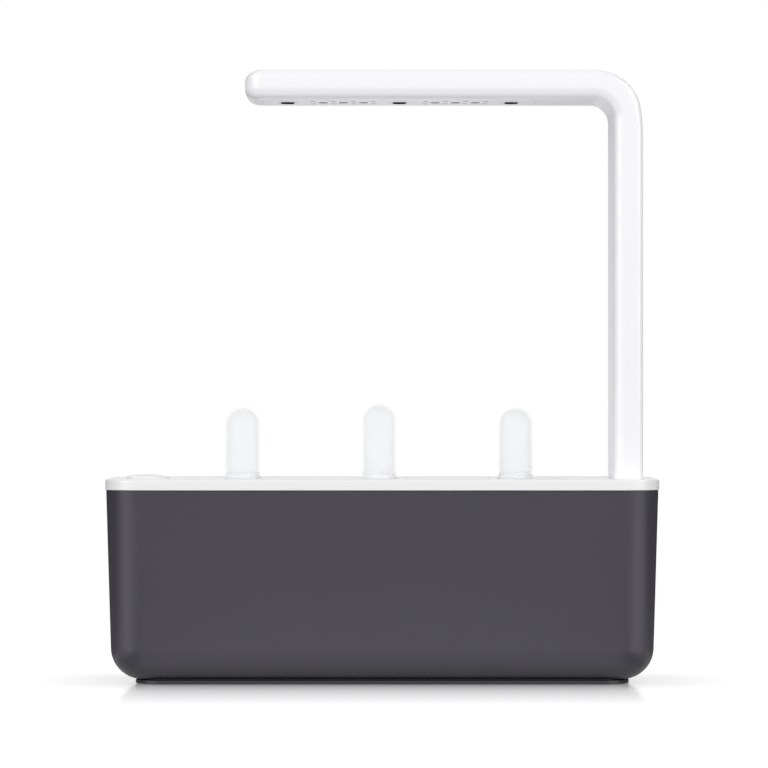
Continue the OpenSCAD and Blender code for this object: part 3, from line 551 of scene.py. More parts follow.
def frosted_polypropylene():
    """Translucent frosted polypropylene: milky, lets light through and blurs what is behind."""
    material, tree, shader, place = blank("frosted_polypropylene", {"Roughness": 0.5, "IOR": 1.4})
    cloud = add(tree, "TexNoise", {"Vector": place, "Scale": 1 / (9 * MM), "Detail": 2.0})
    # The real frosting is finer than 0.1 mm; drawn coarser so that it shows
    frost = add(tree, "TexNoise", {"Vector": place, "Scale": 1 / (0.4 * MM), "Detail": 2.0})
    milky = dress(tree, shader, settings("finish").frost, 0.99, cloud, (0.2, 0.02 * MM), frost)
    # The wall is densest at the foot, and there its colour is lifted toward white as painted brightness
    height = add(tree, "SeparateXYZ", (place,), "Z")
    foot = (height, LID_TOP, LID_TOP + 4 * MM, 1.0, 0.0)
    foot = add(tree, "MapRange", foot, interpolation_type="SMOOTHSTEP")
    tree.links.new(add(tree, "MapRange", (foot, 0.0, 1.0, 0.17, 0.6)), shader.inputs["Alpha"])
    painted_pale_foot = add(tree, "Mix", {0: foot, 6: milky, 7: WHITE}, 2, data_type="RGBA")
    tree.links.new(painted_pale_foot, shader.inputs["Base Color"])
    return material


def moulded_black_nylon():
    """Black nylon with a fine matt grain from its mould, drawn at 0.3 mm so that it shows."""
    return plain("moulded_black_nylon", settings("finish").black, 0.8, {"Roughness": 0.5},
                 0.3 * MM, {"Detail": 2.0}, (0.2, 0.02 * MM))


def soft_rubber():
    """Matt black rubber, dusty grey where it is rubbed."""
    return plain("soft_rubber", linear("#323234"), 0.6, {"Roughness": 0.85},
                 2 * MM, {"Detail": 4.0}, (0.3, 0.05 * MM))


def zinc_plated_steel():
    """Zinc-plated steel: grey and slightly mottled by the bath, in its colour and in its shine."""
    material, tree, shader, place = blank("zinc_plated_steel", {"Metallic": 1.0})
    mottle = add(tree, "TexNoise", {"Vector": place, "Scale": 1 / (1.2 * MM), "Detail": 3.0})
    dress(tree, shader, linear("#C6C8CC"), 0.75, mottle)
    tree.links.new(add(tree, "MapRange", (mottle, 0.0, 1.0, 0.25, 0.45)), shader.inputs["Roughness"])
    return material


def black_zinc_steel():
    """Steel screws with a black passivated plating: dull and nearly black, a little mottled."""
    return plain("black_zinc_steel", linear("#0E0E10"), 0.7, {"Roughness": 0.6, "Specular IOR Level": 0.0},
                 0.8 * MM, {"Detail": 3.0})


def turned_brass():
    """Brass contacts, turned: fine rings and a warm shine."""
    # A wave turns by 20 radians over its unit, so one radian in 0.25 mm sets the rings 1.6 mm apart.
    # The real ones are about 0.1 mm apart; drawn coarser so that they show
    return plain("turned_brass", linear("#D9B65C"), 0.85, {"Metallic": 1.0, "Roughness": 0.28},
                 20 * 0.25 * MM, {"Distortion": 0.5}, kind="TexWave", output="Fac", bands_direction="Z")


def wire_insulation():
    """Soft PVC insulation of hook-up wire, with a slight waxy sheen."""
    return plain("wire_insulation", settings("finish").wire, 0.8, {"Roughness": 0.4},
                 1.5 * MM, {"Detail": 2.0})


def closed_cell_foam():
    """White closed-cell foam: rounded cells about 1 mm across, matt."""
    return plain("closed_cell_foam", linear("#F3F3F1"), 0.85, {"Roughness": 0.8},
                 1.4 * MM, {}, (-0.5, 0.2 * MM), "TexVoronoi")


def cotton_felt():
    """Undyed cotton felt: short matted fibres without a weave."""
    material, tree, shader, place = blank("cotton_felt", {"Roughness": 0.95, "Sheen Weight": 0.3})
    drawn = add(tree, "Mapping", {"Vector": place, "Scale": (1.0, 1.0, 0.3)})
    matted = {"Vector": drawn, "Scale": 1 / (0.5 * MM), "Detail": 5.0, "Distortion": 1.5}
    fibres = add(tree, "TexNoise", matted)
    dress(tree, shader, settings("finish").felt, 0.75, fibres, (0.7, 0.2 * MM))
    return material


def pressed_coir():
    """Pressed coconut fibre: coarse brown strands lying every way."""
    material, tree, shader, place = blank("pressed_coir", {"Roughness": 0.9})
    tangled = {"Vector": place, "Scale": 1 / (1.1 * MM), "Detail": 6.0, "Distortion": 2.5}
    strands = add(tree, "TexNoise", tangled)
    contrast = add(tree, "MapRange", (strands, 0.35, 0.65))
    dress(tree, shader, settings("finish").coir, 0.35, contrast, (0.8, 0.4 * MM), strands)
    return material


def crumbly_peat():
    """Damp peat: dark crumbs with lighter fibres."""
    material, tree, shader, place = blank("crumbly_peat", {"Roughness": 0.95})
    fibre = add(tree, "TexNoise", {"Vector": place, "Scale": 1 / (0.5 * MM), "Detail": 4.0})
    crumbs = add(tree, "TexVoronoi", {"Vector": place, "Scale": 1 / (0.6 * settings("pods").crumb)})
    dress(tree, shader, settings("finish").soil, 0.45, fibre, (0.8, 0.5 * MM), crumbs)
    return material


def solder_mask(name, code):
    """Circuit board under solder mask: copper tracks show faintly through the lacquer."""
    ground = (0, 0, 0, 1)
    return plain(name, linear(code), 0.8, {"Roughness": 0.35}, 12 * MM,
                 {"Mortar Size": 0.02, "Color1": ground, "Color2": ground, "Mortar": WHITE},
                 (0.3, 0.05 * MM), "TexBrick")


def white_solder_mask():
    """White solder mask of the light board."""
    return solder_mask("white_solder_mask", "#EDEEEA")


def green_solder_mask():
    """Green solder mask of the timer board."""
    return solder_mask("green_solder_mask", "#1F5B35")


def phosphor_resin(name, code):
    """Resin lens of a light: a coloured fill under a clear skin. Its grains are drawn at 0.3 mm to show."""
    return plain(name, linear(code), 0.85, {"Roughness": 0.25, "Coat Weight": 0.5}, 0.3 * MM, {"Detail": 2.0})


def yellow_phosphor():
    """Yellow phosphor of the white lights."""
    return phosphor_resin("yellow_phosphor", "#EBD98A")


def red_resin():
    """Red resin of the single lights."""
    return phosphor_resin("red_resin", "#C9403A")


FINISHES = {
    "charcoal_plastic": spark_grained_abs,
    "base_plastic": base_grained_abs,
    "white_plastic": polished_white_abs,
    "lid_plastic": lid_white_abs,
    "frosted_plastic": frosted_polypropylene,
    "black_plastic": moulded_black_nylon,
    "rubber": soft_rubber,
    "steel": zinc_plated_steel,
    "black_steel": black_zinc_steel,
    "brass": turned_brass,
    "wire": wire_insulation,
    "float_foam": closed_cell_foam,
    "wick_felt": cotton_felt,
    "pod_fibre": pressed_coir,
    "soil": crumbly_peat,
    "board": white_solder_mask,
    "timer_board": green_solder_mask,
    "white_light": yellow_phosphor,
    "red_light": red_resin,
}


def finish(look):
    """The material of a look, made when it is first asked for. Most looks are the record's slots."""
    return bpy.data.materials.get(FINISHES[look].__name__) or FINISHES[look]()


# ---- Tank and base ----


def tank_top():
    """Height of the tank's inner lip and of its socket, a little under the lid's plate."""
    return LID_HIGH.z - settings("lid").plate - 0.2 * MM


def tank_shell():
    """Outer walls down to the rounded foot, the rim with its lip, and the inside walls."""
    tank = settings("tank")
    lean, slope = math.degrees(tank.lean), math.tan(tank.lean)
    centre = tank.underside + tank.foot
    start = tank.rim_height - tank.rim_edge
    drop = start - (centre - tank.foot * math.sin(tank.lean))
    outer = [(drop * slope, drop)] + arc(tank.foot, lean, 90, 20)
    inner_foot = tank.foot - tank.wall
    inner_drop = tank_top() - (centre - inner_foot * math.sin(tank.lean))
    inner = arc(tank.rim_edge, 0, 90, 5)
    inner += [(tank.wall / 2 - tank.rim_edge, 0), (0, tank_top() - tank.rim_height), (tank.wall / 2, 0)]
    inner += [(inner_drop * slope, -inner_drop)] + hollow_arc(inner_foot, lean, 88, 14)
    open_plate((0, 0, start), (tank.rim, tank.depth), (tank.corner, tank.corner), 24)
    return form(up=inner, down=outer)


def arm_outline(height, grow, segments=10):
    """Opens edit mode on the arm's section, grown by some, at a height."""
    arm = settings("arm")
    open_plate(
        (COLUMN_LOW.x + ARM_THICK / 2, 0, height),
        (ARM_THICK + 2 * grow, ARM_WIDE + 2 * grow),
        (arm.inner_edge + grow, arm.outer_edge + grow),
        segments,
    )


class GARDEN_OT_tank(bpy.types.Operator):
    """Model the water tank with its socket for the arm"""

    bl_idname = "garden.tank"
    bl_label = "Water tank"

    def execute(self, context):
        tank = settings("tank")
        shell = tank_shell()
        gap = tank.socket_gap + tank.socket_wall
        floor = tank.underside + 1 * MM
        inlet = middle("inlet_pin")
        socket = box_tool((COLUMN_LOW.x - gap, COLUMN_LOW.y - gap, 14 * MM),
                          (COLUMN_HIGH.x + gap, COLUMN_HIGH.y + gap, tank_top()))
        carve(shell, socket, operation="UNION")
        bay_half, tower_half = 33.9 * MM, 9.4 * MM
        connector_bay = box_tool((COLUMN_LOW.x - 30.9 * MM, -bay_half, floor),
                                 (COLUMN_LOW.x + 4 * MM, bay_half, 25.9 * MM))
        carve(shell, connector_bay, operation="UNION")
        inlet_tower = box_tool((inlet.x - tower_half, -7.4 * MM, floor + 11 * MM),
                               (inlet.x + tower_half, 56 * MM, inlet.z + 13 * MM))
        carve(shell, inlet_tower, operation="UNION")
        posts = copies(round_tool((*BASE_SCREW, floor), 8 * MM, 9 * MM), BASE_SHIFTS)
        carve(shell, *posts, operation="UNION")
        arm_outline(COLUMN_LOW.z - 0.2 * MM, tank.socket_gap)
        carve(shell, form(up=[(0, 60 * MM)]))
        inlet_hole = round_tool((0, 0, 0), 11.1 * MM, 30 * MM)
        set_down(inlet_hole, SIDEWAYS, (inlet.x, 40 * MM, inlet.z))
        carve(shell, inlet_hole)
        piece(shell, "tank", "tank", "charcoal_plastic", ["water_tank"])
        return {"FINISHED"}


class GARDEN_OT_base(bpy.types.Operator):
    """Model the stepped base plate with its recesses, and the rubber feet"""

    bl_idname = "garden.base"
    bl_label = "Base plate and feet"

    def execute(self, context):
        tank = settings("tank")
        low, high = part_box("base_plate")
        plinth = 2 * MM
        edge = 0.35 * MM
        open_plate((0, 0, low.z + edge), (high.x - low.x, high.y - low.y), (tank.plinth_corner,) * 2, 18)
        rise = [(0, plinth - 2 * edge)] + arc(edge, 0, 90, 4)
        rise += [(tank.plinth_step - edge, 0), (0, high.z - low.z - plinth)]
        base = form(up=rise, down=arc(edge, 0, 90, 4))
        foot_low, foot_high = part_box("rubber_feet")
        radius = 7 * MM
        first = (foot_low.x + radius, foot_low.y + radius)
        far = (foot_high.x - foot_low.x - 2 * radius, foot_high.y - foot_low.y - 2 * radius)
        shifts = [(x, y, 0) for x in (0, far[0]) for y in (0, far[1])][1:]
        seats = copies(round_tool((*first, 0), 14.4 * MM, foot_high.z), shifts)
        screw_seats = copies(round_tool((*BASE_SCREW, 0), 6 * MM, 2.1 * MM), BASE_SHIFTS)
        carve(base, *seats, *screw_seats)
        carve(base, *copies(round_tool((*BASE_SCREW, 0), 3 * MM, 9 * MM), BASE_SHIFTS))
        # The plinth's look takes the base colour, which is darkened as painted shade
        piece(base, "base_plinth", "tank", "charcoal_plastic", ["base_plate"], "base_plastic")
        foot_edge = 0.3 * MM
        open_disc((*first, foot_high.z), radius, 40)
        dish = [(3 * MM, 0), (0.4 * MM, -0.2 * MM)]
        foot = form(down=[(0, foot_high.z - foot_edge)] + arc(foot_edge, 0, 90, 4) + dish)
        piece(join(copies(foot, shifts)), "feet", "tank", "rubber", ["rubber_feet"])
        return {"FINISHED"}


def pan_screw(place, head, height, shank, long):
    """A pan-head screw pointing up, with a cross recess in its head. The head's underside is at place."""
    open_disc(place, head / 2, 36)
    dome = [(0, height * 0.9)] + arc(height * 0.08, 0, 76, 5) + [(head * 0.2, height * 0.02)]
    tip = [((head - shank) / 2, 0), (0, long - 0.3 * MM), (0.4 * MM, 0.3 * MM)]
    body = form(up=tip, down=dome)
    for turn in (0, math.pi / 2):
        slot = box_tool((-head * 0.27, -head * 0.06, 0), (head * 0.27, head * 0.06, height))
        set_down(slot, (0, 0, turn), (place[0], place[1], place[2] - height * 1.5))
        carve(body, slot)
    return body


class GARDEN_OT_base_screws(bpy.types.Operator):
    """Model the six screws that hold the base plate"""

    bl_idname = "garden.base_screws"
    bl_label = "Base screws"

    def execute(self, context):
        screw = pan_screw((*BASE_SCREW, 2.1 * MM), 5.6 * MM, 1.5 * MM, 2.9 * MM, 6 * MM)
        piece(join(copies(screw, BASE_SHIFTS)), "plinth_screws", "tank", "steel", ["base_screws"])
        return {"FINISHED"}


class GARDEN_OT_inlet(bpy.types.Operator):
    """Model the power inlet in the back wall"""

    bl_idname = "garden.inlet"
    bl_label = "Power inlet"

    def execute(self, context):
        low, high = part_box("power_inlet")
        inlet = middle("inlet_pin")
        edge, bevel = 0.4 * MM, 0.3 * MM
        open_disc((0, 0, -edge), 5.5 * MM, 40)
        mouth = arc(edge, 0, 90, 4) + [(2.1 * MM - bevel, 0), (bevel, -bevel), (0, -9.2 * MM)]
        body = form(up=mouth, down=[(0, high.y - low.y - edge - bevel), (bevel, bevel)])
        open_disc((0, 0, 0), 6.5 * MM, 40)
        ring = form(up=[(0, 1.4 * MM)] + arc(0.6 * MM, 0, 90, 3))
        set_down(ring, (0, 0, 0), (0, 0, 52.5 * MM - high.y - 2 * MM))
        carve(body, ring, operation="UNION")
        set_down(body, SIDEWAYS, (inlet.x, high.y, inlet.z))
        piece(body, "inlet_socket", "tank", "black_plastic", ["power_inlet"])
        return {"FINISHED"}


# ---- Lid and float ----


def pod_place(side):
    """Place of a pod along the lid."""
    return middle("pod_cup_" + side).x


def pod_shifts(rise=0.0):
    """Shifts from the left pod to the middle one, which may stand higher, and to the right one."""
    first = pod_place("left")
    return [(pod_place("middle") - first, 0, rise), (pod_place("right") - first, 0, 0)]


class GARDEN_OT_lid(bpy.types.Operator):
    """Model the lid with its skirt, collars and openings"""

    bl_idname = "garden.lid"
    bl_label = "Lid"

    def execute(self, context):
        lid, pods, cap = settings("lid"), settings("pods"), settings("float")
        under = LID_TOP - lid.plate
        start = LID_TOP - lid.edge
        open_plate((0, 0, start), (lid.length, lid.depth), (lid.corner, lid.corner), 24)
        skirt = [(0, start - lid.skirt_low - lid.lip)] + arc(lid.lip, 0, 90, 5)
        skirt += [(lid.skirt - lid.lip, 0), (0, lid.skirt_low - under)]
        body = form(up=arc(lid.edge, 0, 90, 8), down=skirt)

        pod_at, float_at = pod_place("left"), middle("float_cap").x
        pod_half, float_half = (pods.cup_length - pods.cup_width) / 2, (cap.length - cap.width) / 2
        hole = pods.cup_width / 2 + pods.cup_wall + 0.5 * MM
        port = cap.width / 2 + cap.gap
        open_disc((pod_at, 0, under - 6 * MM), hole + lid.collar, 64)
        collars = copies(form(up=[(0, 7 * MM)], stretch=pod_half), pod_shifts())
        open_disc((float_at, 0, under - 2.8 * MM), port + lid.collar, 64)
        collars.append(form(up=[(0, 3.8 * MM)], stretch=float_half))
        carve(body, *collars, operation="UNION")

        low, through = under - 8 * MM, [(0, 20 * MM)]
        open_disc((pod_at, 0, low), hole, 64)
        openings = copies(form(up=through, stretch=pod_half), pod_shifts())
        open_disc((float_at, 0, low), port, 64)
        openings.append(form(up=through, stretch=float_half))
        arm_outline(low, settings("tank").socket_gap)
        openings.append(form(up=through))
        carve(body, *openings)
        open_disc((pod_at, 0, LID_TOP - 1.4 * MM), pods.cup_width / 2 + pods.flange + 0.3 * MM, 64)
        carve(body, *copies(form(up=[(0, 4 * MM)], stretch=pod_half), pod_shifts()))
        piece(body, "lid_cover", "lid", "white_plastic", ["lid"], "lid_plastic", edge=0.15 * MM)
        return {"FINISHED"}


def cap_shape(at, radius, half):
    """The float cap: a low crown that falls off to its front and back, a straight side and a hollow."""
    cap = settings("float")
    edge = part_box("float_cap")[1].z - cap.crown
    crown_radius = (radius**2 + cap.crown**2) / (2 * cap.crown)
    turns = [math.asin(radius / crown_radius) * (1 - i / 10) for i in range(10)]
    crown = [
        (crown_radius * (math.sin(a) - math.sin(b)), crown_radius * (math.cos(b) - math.cos(a)))
        for a, b in zip(turns, turns[1:])
    ]
    open_disc((at, 0, edge), radius, 80)
    hollow = [(0.2 * MM, 0.2 * MM), (1.2 * MM, 0), (0, -3.6 * MM)]
    body = form(up=crown, down=[(0, cap.side - 0.2 * MM)] + hollow, stretch=half)
    crown_points = body.vertex_groups.new(name="crown")
    for point in body.data.vertices:
        share = min(abs(point.co.y) / (cap.length / 2), 1) ** 2
        share *= min(max((point.co.z - edge) / cap.crown, 0), 1)
        crown_points.add([point.index], share, "REPLACE")
    modify(body, "DISPLACE", direction="Z", strength=-cap.bow, mid_level=0, vertex_group="crown")
    activate(body)
    bpy.ops.object.mode_set(mode="EDIT")
    pick("VERT", lambda place: place.z > edge - 0.1 * MM)
    bpy.ops.transform.rotate(value=-cap.tilt, orient_axis="Y", center_override=(at - radius, 0, edge))
    bpy.ops.object.mode_set(mode="OBJECT")
    return body


def cage_shape(at, radius, half):
    """The float's guide: a cage with ears for its screws, windows in its sides and drains in its floor."""
    low, high = (corner.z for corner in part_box("float_guide"))
    inside = radius + settings("float").gap
    wall, floor_edge, ear_y, ear = 1.2 * MM, 0.5 * MM, 27.7 * MM, 2 * MM
    open_disc((at, 0, low + floor_edge), inside + wall, 64)
    up = [(0, high - low - floor_edge), (wall, 0), (0, -(high - low - 2 * MM))]
    cage = form(up=up, down=arc(floor_edge, 0, 90, 3), stretch=half)
    for side in (-1, 1):
        y = side * ear_y
        near, far = sorted((y - side * 4.5 * MM, y))
        carve(cage, round_tool((at, y, high - ear), 8 * MM, ear), operation="UNION")
        bridge = box_tool((at - 4 * MM, near, high - ear), (at + 4 * MM, far, high))
        carve(cage, bridge, operation="UNION")
    windows = [
        box_tool((at - 2 * radius, y - 3 * MM, low + 6 * MM),
                 (at + 2 * radius, y + 3 * MM, high - 10 * MM))
        for y in (-9 * MM, 0, 9 * MM)
    ]
    drains = [
        round_tool((at, k * half, low - 1 * MM), inside * (1 if k else 2 / 3), 4 * MM) for k in (-1, 0, 1)
    ]
    holes = [round_tool((at, side * ear_y, high - 3 * MM), 2.1 * MM, 4 * MM, 20) for side in (-1, 1)]
    carve(cage, *windows, *drains, *holes)
    return cage


class GARDEN_OT_float(bpy.types.Operator):
    """Model the float cap, its stem, its foam block and the guide cage"""

    bl_idname = "garden.float"
    bl_label = "Water-level float"

    def execute(self, context):
        cap = settings("float")
        at, radius, half = middle("float_cap").x, cap.width / 2, (cap.length - cap.width) / 2
        body = cap_shape(at, radius, half)
        piece(body, "level_cap", "float", "white_plastic", ["float_cap"], "lid_plastic")

        stem_low, stem_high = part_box("float_stem")
        bob_low, bob_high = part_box("float_bob")
        other_post = [(0, 2 * cap.post_y, 0)]
        post = round_tool((at, -cap.post_y, stem_low.z), cap.post, stem_high.z - stem_low.z, 24)
        stem = join(copies(post, other_post))
        bar = box_tool((at - cap.post / 2, -cap.post_y, bob_high.z),
                       (at + cap.post / 2, cap.post_y, bob_high.z + 2 * MM))
        carve(stem, bar, operation="UNION")
        piece(stem, "level_stem", "float", "white_plastic", ["float_stem"], edge=0.3 * MM)

        edge = 1 * MM
        round_edge = arc(edge, 0, 90, 4)
        open_disc((at, 0, bob_low.z + edge), radius - 0.6 * MM, 64)
        block = form(up=[(0, bob_high.z - bob_low.z - 2 * edge)] + round_edge, down=round_edge, stretch=half)
        bore = round_tool((at, -cap.post_y, stem_low.z - 0.2 * MM), cap.post + 0.1 * MM, 20 * MM)
        carve(block, *copies(bore, other_post))
        piece(block, "level_block", "float", "float_foam", ["float_bob"])
        cage = cage_shape(at, radius, half)
        piece(cage, "level_guide", "lid", "white_plastic", ["float_guide"], edge=0.2 * MM)
        return {"FINISHED"}


# ---- Pods ----


def pod_pieces(obj, name, body, slot, node, like=None, edge=0.0):
    """Finishes the left pod's piece and its copies. The middle one stands as much higher as like's nodes."""
    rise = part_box(like + "_middle")[1].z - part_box(like + "_left")[1].z if like else 0.0
    for side, made in zip(POD_SIDES, copies(obj, pod_shifts(rise))):
        piece(made, f"{name}_{side}", f"{body}_{side}", slot, [f"{node}_{side}"], edge=edge)


class GARDEN_OT_cups(bpy.types.Operator):
    """Model the pod cups with their flanges and water windows, and the felt wicks"""

    bl_idname = "garden.cups"
    bl_label = "Pod cups and wicks"

    def execute(self, context):
        pods = settings("pods")
        low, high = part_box("pod_cup_left")
        at = pod_place("left")
        half = (pods.cup_length - pods.cup_width) / 2
        edge, foot = 0.25 * MM, 1 * MM
        deep = high.z - low.z
        open_disc((at, 0, high.z - edge), pods.cup_width / 2 + pods.flange, 64)
        outer = [(0, pods.flange_height - edge), (pods.flange - pods.cup_wall, 0)]
        outer += [(pods.cup_taper, deep - pods.flange_height - foot)] + arc(foot, 0, 90, 4)
        inner = arc(edge, 0, 90, 3) + [(pods.flange - 2 * edge, 0), (edge, -edge)]
        inner += [(pods.cup_taper, -(deep - 1.4 * MM - edge))]
        cup = form(up=inner, down=outer, stretch=half)
        wick_slot = box_tool((at - 1.4 * MM, -5.4 * MM, low.z - 1 * MM),
                             (at + 1.4 * MM, 5.4 * MM, low.z + 3 * MM))
        windows = [
            box_tool((at - 20 * MM, y - 2.5 * MM, low.z + 4 * MM),
                     (at + 20 * MM, y + 2.5 * MM, low.z + 13 * MM))
            for y in (-0.7 * half, 0.7 * half)
        ]
        carve(cup, wick_slot, *windows)
        pod_pieces(cup, "cup_holder", "cup", "white_plastic", "pod_cup", edge=0.12 * MM)

        wick_low, wick_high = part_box("wick_left")
        round_edge = 0.9 * MM
        open_disc((at, 0, wick_high.z - round_edge), (wick_high.x - wick_low.x) / 2, 64)
        pad = form(up=arc(round_edge, 0, 90, 4), down=[(0.3 * MM, 0.3 * MM)], stretch=half)
        open_plate((at, 0, wick_low.z + 0.5 * MM), (2 * MM, 10 * MM), (0.8 * MM, 0.8 * MM), 4)
        strip = form(up=[(0, wick_high.z - wick_low.z - 1.2 * MM)], down=[(0.4 * MM, 0.5 * MM)])
        carve(pad, strip, operation="UNION")
        pod_pieces(pad, "felt_wick", "cup", "wick_felt", "wick")
        return {"FINISHED"}


class GARDEN_OT_plant_pods(bpy.types.Operator):
    """Model the coir plant pods and the soil in them"""

    bl_idname = "garden.plant_pods"
    bl_label = "Plant pods and soil"

    def execute(self, context):
        pods = settings("pods")
        low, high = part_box("plant_pod_left")
        soil_low, soil_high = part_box("soil_plug_left")
        at = middle("plant_pod_left").x
        half = (pods.pod_length - pods.pod_width) / 2
        taper, edge, foot = 0.9 * MM, 0.3 * MM, 1 * MM
        open_disc((at, 0, high.z - edge), pods.pod_width / 2, 64)
        outer = [(taper, high.z - low.z - edge - foot)] + arc(foot, 0, 90, 4)
        inner = [(edge, edge), (pods.pod_wall - edge, 0), (taper, -(high.z - soil_low.z))]
        pod = form(up=inner, down=outer, stretch=half)
        drain = round_tool((at, -half * 0.8, low.z - 1 * MM), 5 * MM, 3 * MM)
        carve(pod, *copies(drain, [(0, half * 0.8, 0), (0, half * 1.6, 0)]))
        pod_pieces(pod, "coir_pod", "pod", "pod_fibre", "plant_pod", "plant_pod")

        play = 0.05 * MM
        open_disc((at, 0, soil_high.z), (soil_high.x - soil_low.x) / 2 - play, 64)
        soil = form(down=[(0.75 * MM, soil_high.z - soil_low.z - play)], stretch=half)
        modify(soil, "REMESH", mode="VOXEL", voxel_size=0.7 * MM)
        crumbs = bpy.data.textures.new("crumbs", "CLOUDS")
        crumbs.noise_scale = pods.crumb
        upper = soil.vertex_groups.new(name="upper")
        upper.add([p.index for p in soil.data.vertices if p.co.z > soil_high.z - 0.5 * MM], 1.0, "REPLACE")
        modify(soil, "DISPLACE", texture=crumbs, texture_coords="LOCAL", direction="Z", strength=2.2 * MM,
               mid_level=0.75, vertex_group="upper")
        pod_pieces(soil, "soil_fill", "pod", "soil", "soil_plug", "plant_pod")
        return {"FINISHED"}


class GARDEN_OT_domes(bpy.types.Operator):
    """Model the three frosted germination domes"""

    bl_idname = "garden.domes"
    bl_label = "Germination domes"

    def execute(self, context):
        pods = settings("pods")
        low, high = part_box("germination_dome_left")
        radius = pods.dome_width / 2
        lip, lip_low, lip_height, edge = pods.dome_lip, LID_TOP + 0.2 * MM, 1 * MM, 0.1 * MM
        crown = radius - pods.dome_taper
        open_disc((middle("germination_dome_left").x, 0, lip_low + edge), radius + lip, 96)
        outer = [(0, lip_height - 2 * edge)] + arc(edge, 0, 90, 3) + [(lip - edge, 0)]
        outer += [(pods.dome_taper, high.z - crown - lip_low - lip_height)] + arc(crown, 0, 87, 20)
        inner = arc(edge, 0, 90, 3) + [(lip - edge, 0), (0, lip_low - low.z), (pods.dome_wall, 0)]
        inner += [(pods.dome_taper, -(high.z - crown - low.z))]
        inner += hollow_arc(crown - pods.dome_wall, 0, 87, 20)
        dome = form(up=outer, down=inner, stretch=(pods.dome_length - pods.dome_width) / 2)
        name = "germination_dome"
        pod_pieces(dome, "frosted_dome", "dome", "frosted_plastic", name, name)
        return {"FINISHED"}


# ---- Arm and lamp ----


class GARDEN_OT_extension(bpy.types.Operator):
    """Model the hollow lower length of the column"""

    bl_idname = "garden.extension"
    bl_label = "Extension arm"

    def execute(self, context):
        arm = settings("arm")
        arm_outline(COLUMN_LOW.z, 0)
        bpy.ops.mesh.inset(thickness=arm.wall, depth=0, use_even_offset=True)
        bpy.ops.mesh.delete(type="FACE")
        bpy.ops.mesh.select_all(action="SELECT")
        bpy.ops.mesh.extrude_region_move(
            TRANSFORM_OT_translate={"value": (0, 0, COLUMN_HIGH.z + arm.seam_fill - COLUMN_LOW.z)}
        )
        merge_points()
        bpy.ops.mesh.normals_make_consistent(inside=False)
        bpy.ops.object.mode_set(mode="OBJECT")
        column = bpy.context.object
        piece(column, "column_extension", "extension", "white_plastic", ["extension_arm"], edge=arm.seam_edge)
        return {"FINISHED"}


def bend_centre():
    """The axis that the arm bends round, seen from the front."""
    bend = settings("arm").bend
    return COLUMN_LOW.x - bend, LAMP_HIGH.z - ARM_THICK - bend


def heading(step, steps):
    """Direction of the arm's end part of the way round the bend."""
    turn = math.radians(90 * step / steps)
    return (-math.sin(turn), 0, math.cos(turn))


def quarter(at, long, drop):
    """How far a rounded end has fallen off at a distance from its tip."""
    return drop * (1 - math.sqrt(1 - (max(long - at, 0) / long) ** 2))


# The column's top is cut into rings this far apart, so that ease_bend can shape it
RING = 2.5 * MM


def lamp_body(grow, low):
    """The lamp's outline, grown by some: up the column, round the bend and along to its blunt nose."""
    arm = settings("arm")
    bend_x, bend_z = bend_centre()
    arm_outline(low, grow, 12)
    obj = bpy.context.object
    bpy.ops.mesh.duplicate()
    bpy.ops.mesh.flip_normals()
    pick("FACE", lambda at, normal: normal.z > 0.9)
    walk([(0, bend_z - low - 8 * RING)] + [(0, RING)] * 8)
    steps, hair = 30, 1e-5
    for step in range(steps):
        bpy.ops.mesh.inset(thickness=0, depth=hair, use_even_offset=True)
        bpy.ops.transform.translate(value=tuple(-hair * part for part in heading(step, steps)))
        bpy.ops.transform.rotate(
            value=math.radians(90 / steps), orient_axis="Y", center_override=(bend_x, 0, bend_z)
        )
    # The nose: its upper and lower edges and its corners in plan are quarters of an ellipse
    tip = LAMP_LOW.x - arm.tip_out - grow
    corner, wide = arm.tip_corner + grow, ARM_WIDE / 2 + grow
    walk([(0, bend_x - (tip + corner))])
    top, under = LAMP_HIGH.z + grow, LAMP_HIGH.z - ARM_THICK - grow
    was_at, was_top, was_under, was_wide = corner, top, under, wide
    for turn in range(5, 90, 5):
        at = corner * (1 - math.sin(math.radians(turn)))
        now_top = top - quarter(at, arm.nose_long + grow, arm.nose_drop + grow)
        now_under = under + quarter(at, 0.8 * arm.nose_long + grow, 0.7 * arm.nose_drop + grow)
        now_wide = wide - quarter(at, corner, corner)
        walk([(0, was_at - at)])
        bpy.ops.transform.resize(
            value=(1, now_wide / was_wide, (now_top - now_under) / (was_top - was_under)),
            center_override=(tip + at, 0, (was_top + was_under) / 2),
        )
        bpy.ops.transform.translate(value=(0, 0, (now_top + now_under - was_top - was_under) / 2))
        was_at, was_top, was_under, was_wide = at, now_top, now_under, now_wide
    merge_points()
    bpy.ops.object.mode_set(mode="OBJECT")
    return obj


def ease_bend(obj):
    """Draws the outer side of the bend in a little where it runs into the column."""
    arm = settings("arm")
    bend_x, bend_z = bend_centre()
    outer = arm.bend + ARM_THICK
    half_way, close = (arm.bend + outer) / 2, 0.1 * MM
    crest, spread = 3.5 * MM, 7 * MM
    activate(obj)
    bpy.ops.object.mode_set(mode="EDIT")
    for step in range(-8, 20):
        turn = math.radians(3 * step)
        level = RING * step if step < 0 else outer * math.sin(turn)
        shift = arm.ease * math.exp(-(((level - crest) / spread) ** 2))

        def on_ring(at):
            x, z = at.x - bend_x, at.z - bend_z
            if step < 0:
                return abs(z - RING * step) < close and x > half_way
            far = math.hypot(x, z)
            return x > 0 and abs(math.atan2(z, x) - turn) * far < close and far > half_way

        pick("VERT", on_ring)
        out = (1, 0) if step < 0 else (math.cos(turn), math.sin(turn))
        bpy.ops.transform.translate(value=(-shift * out[0], 0, -shift * out[1]))
    bpy.ops.object.mode_set(mode="OBJECT")


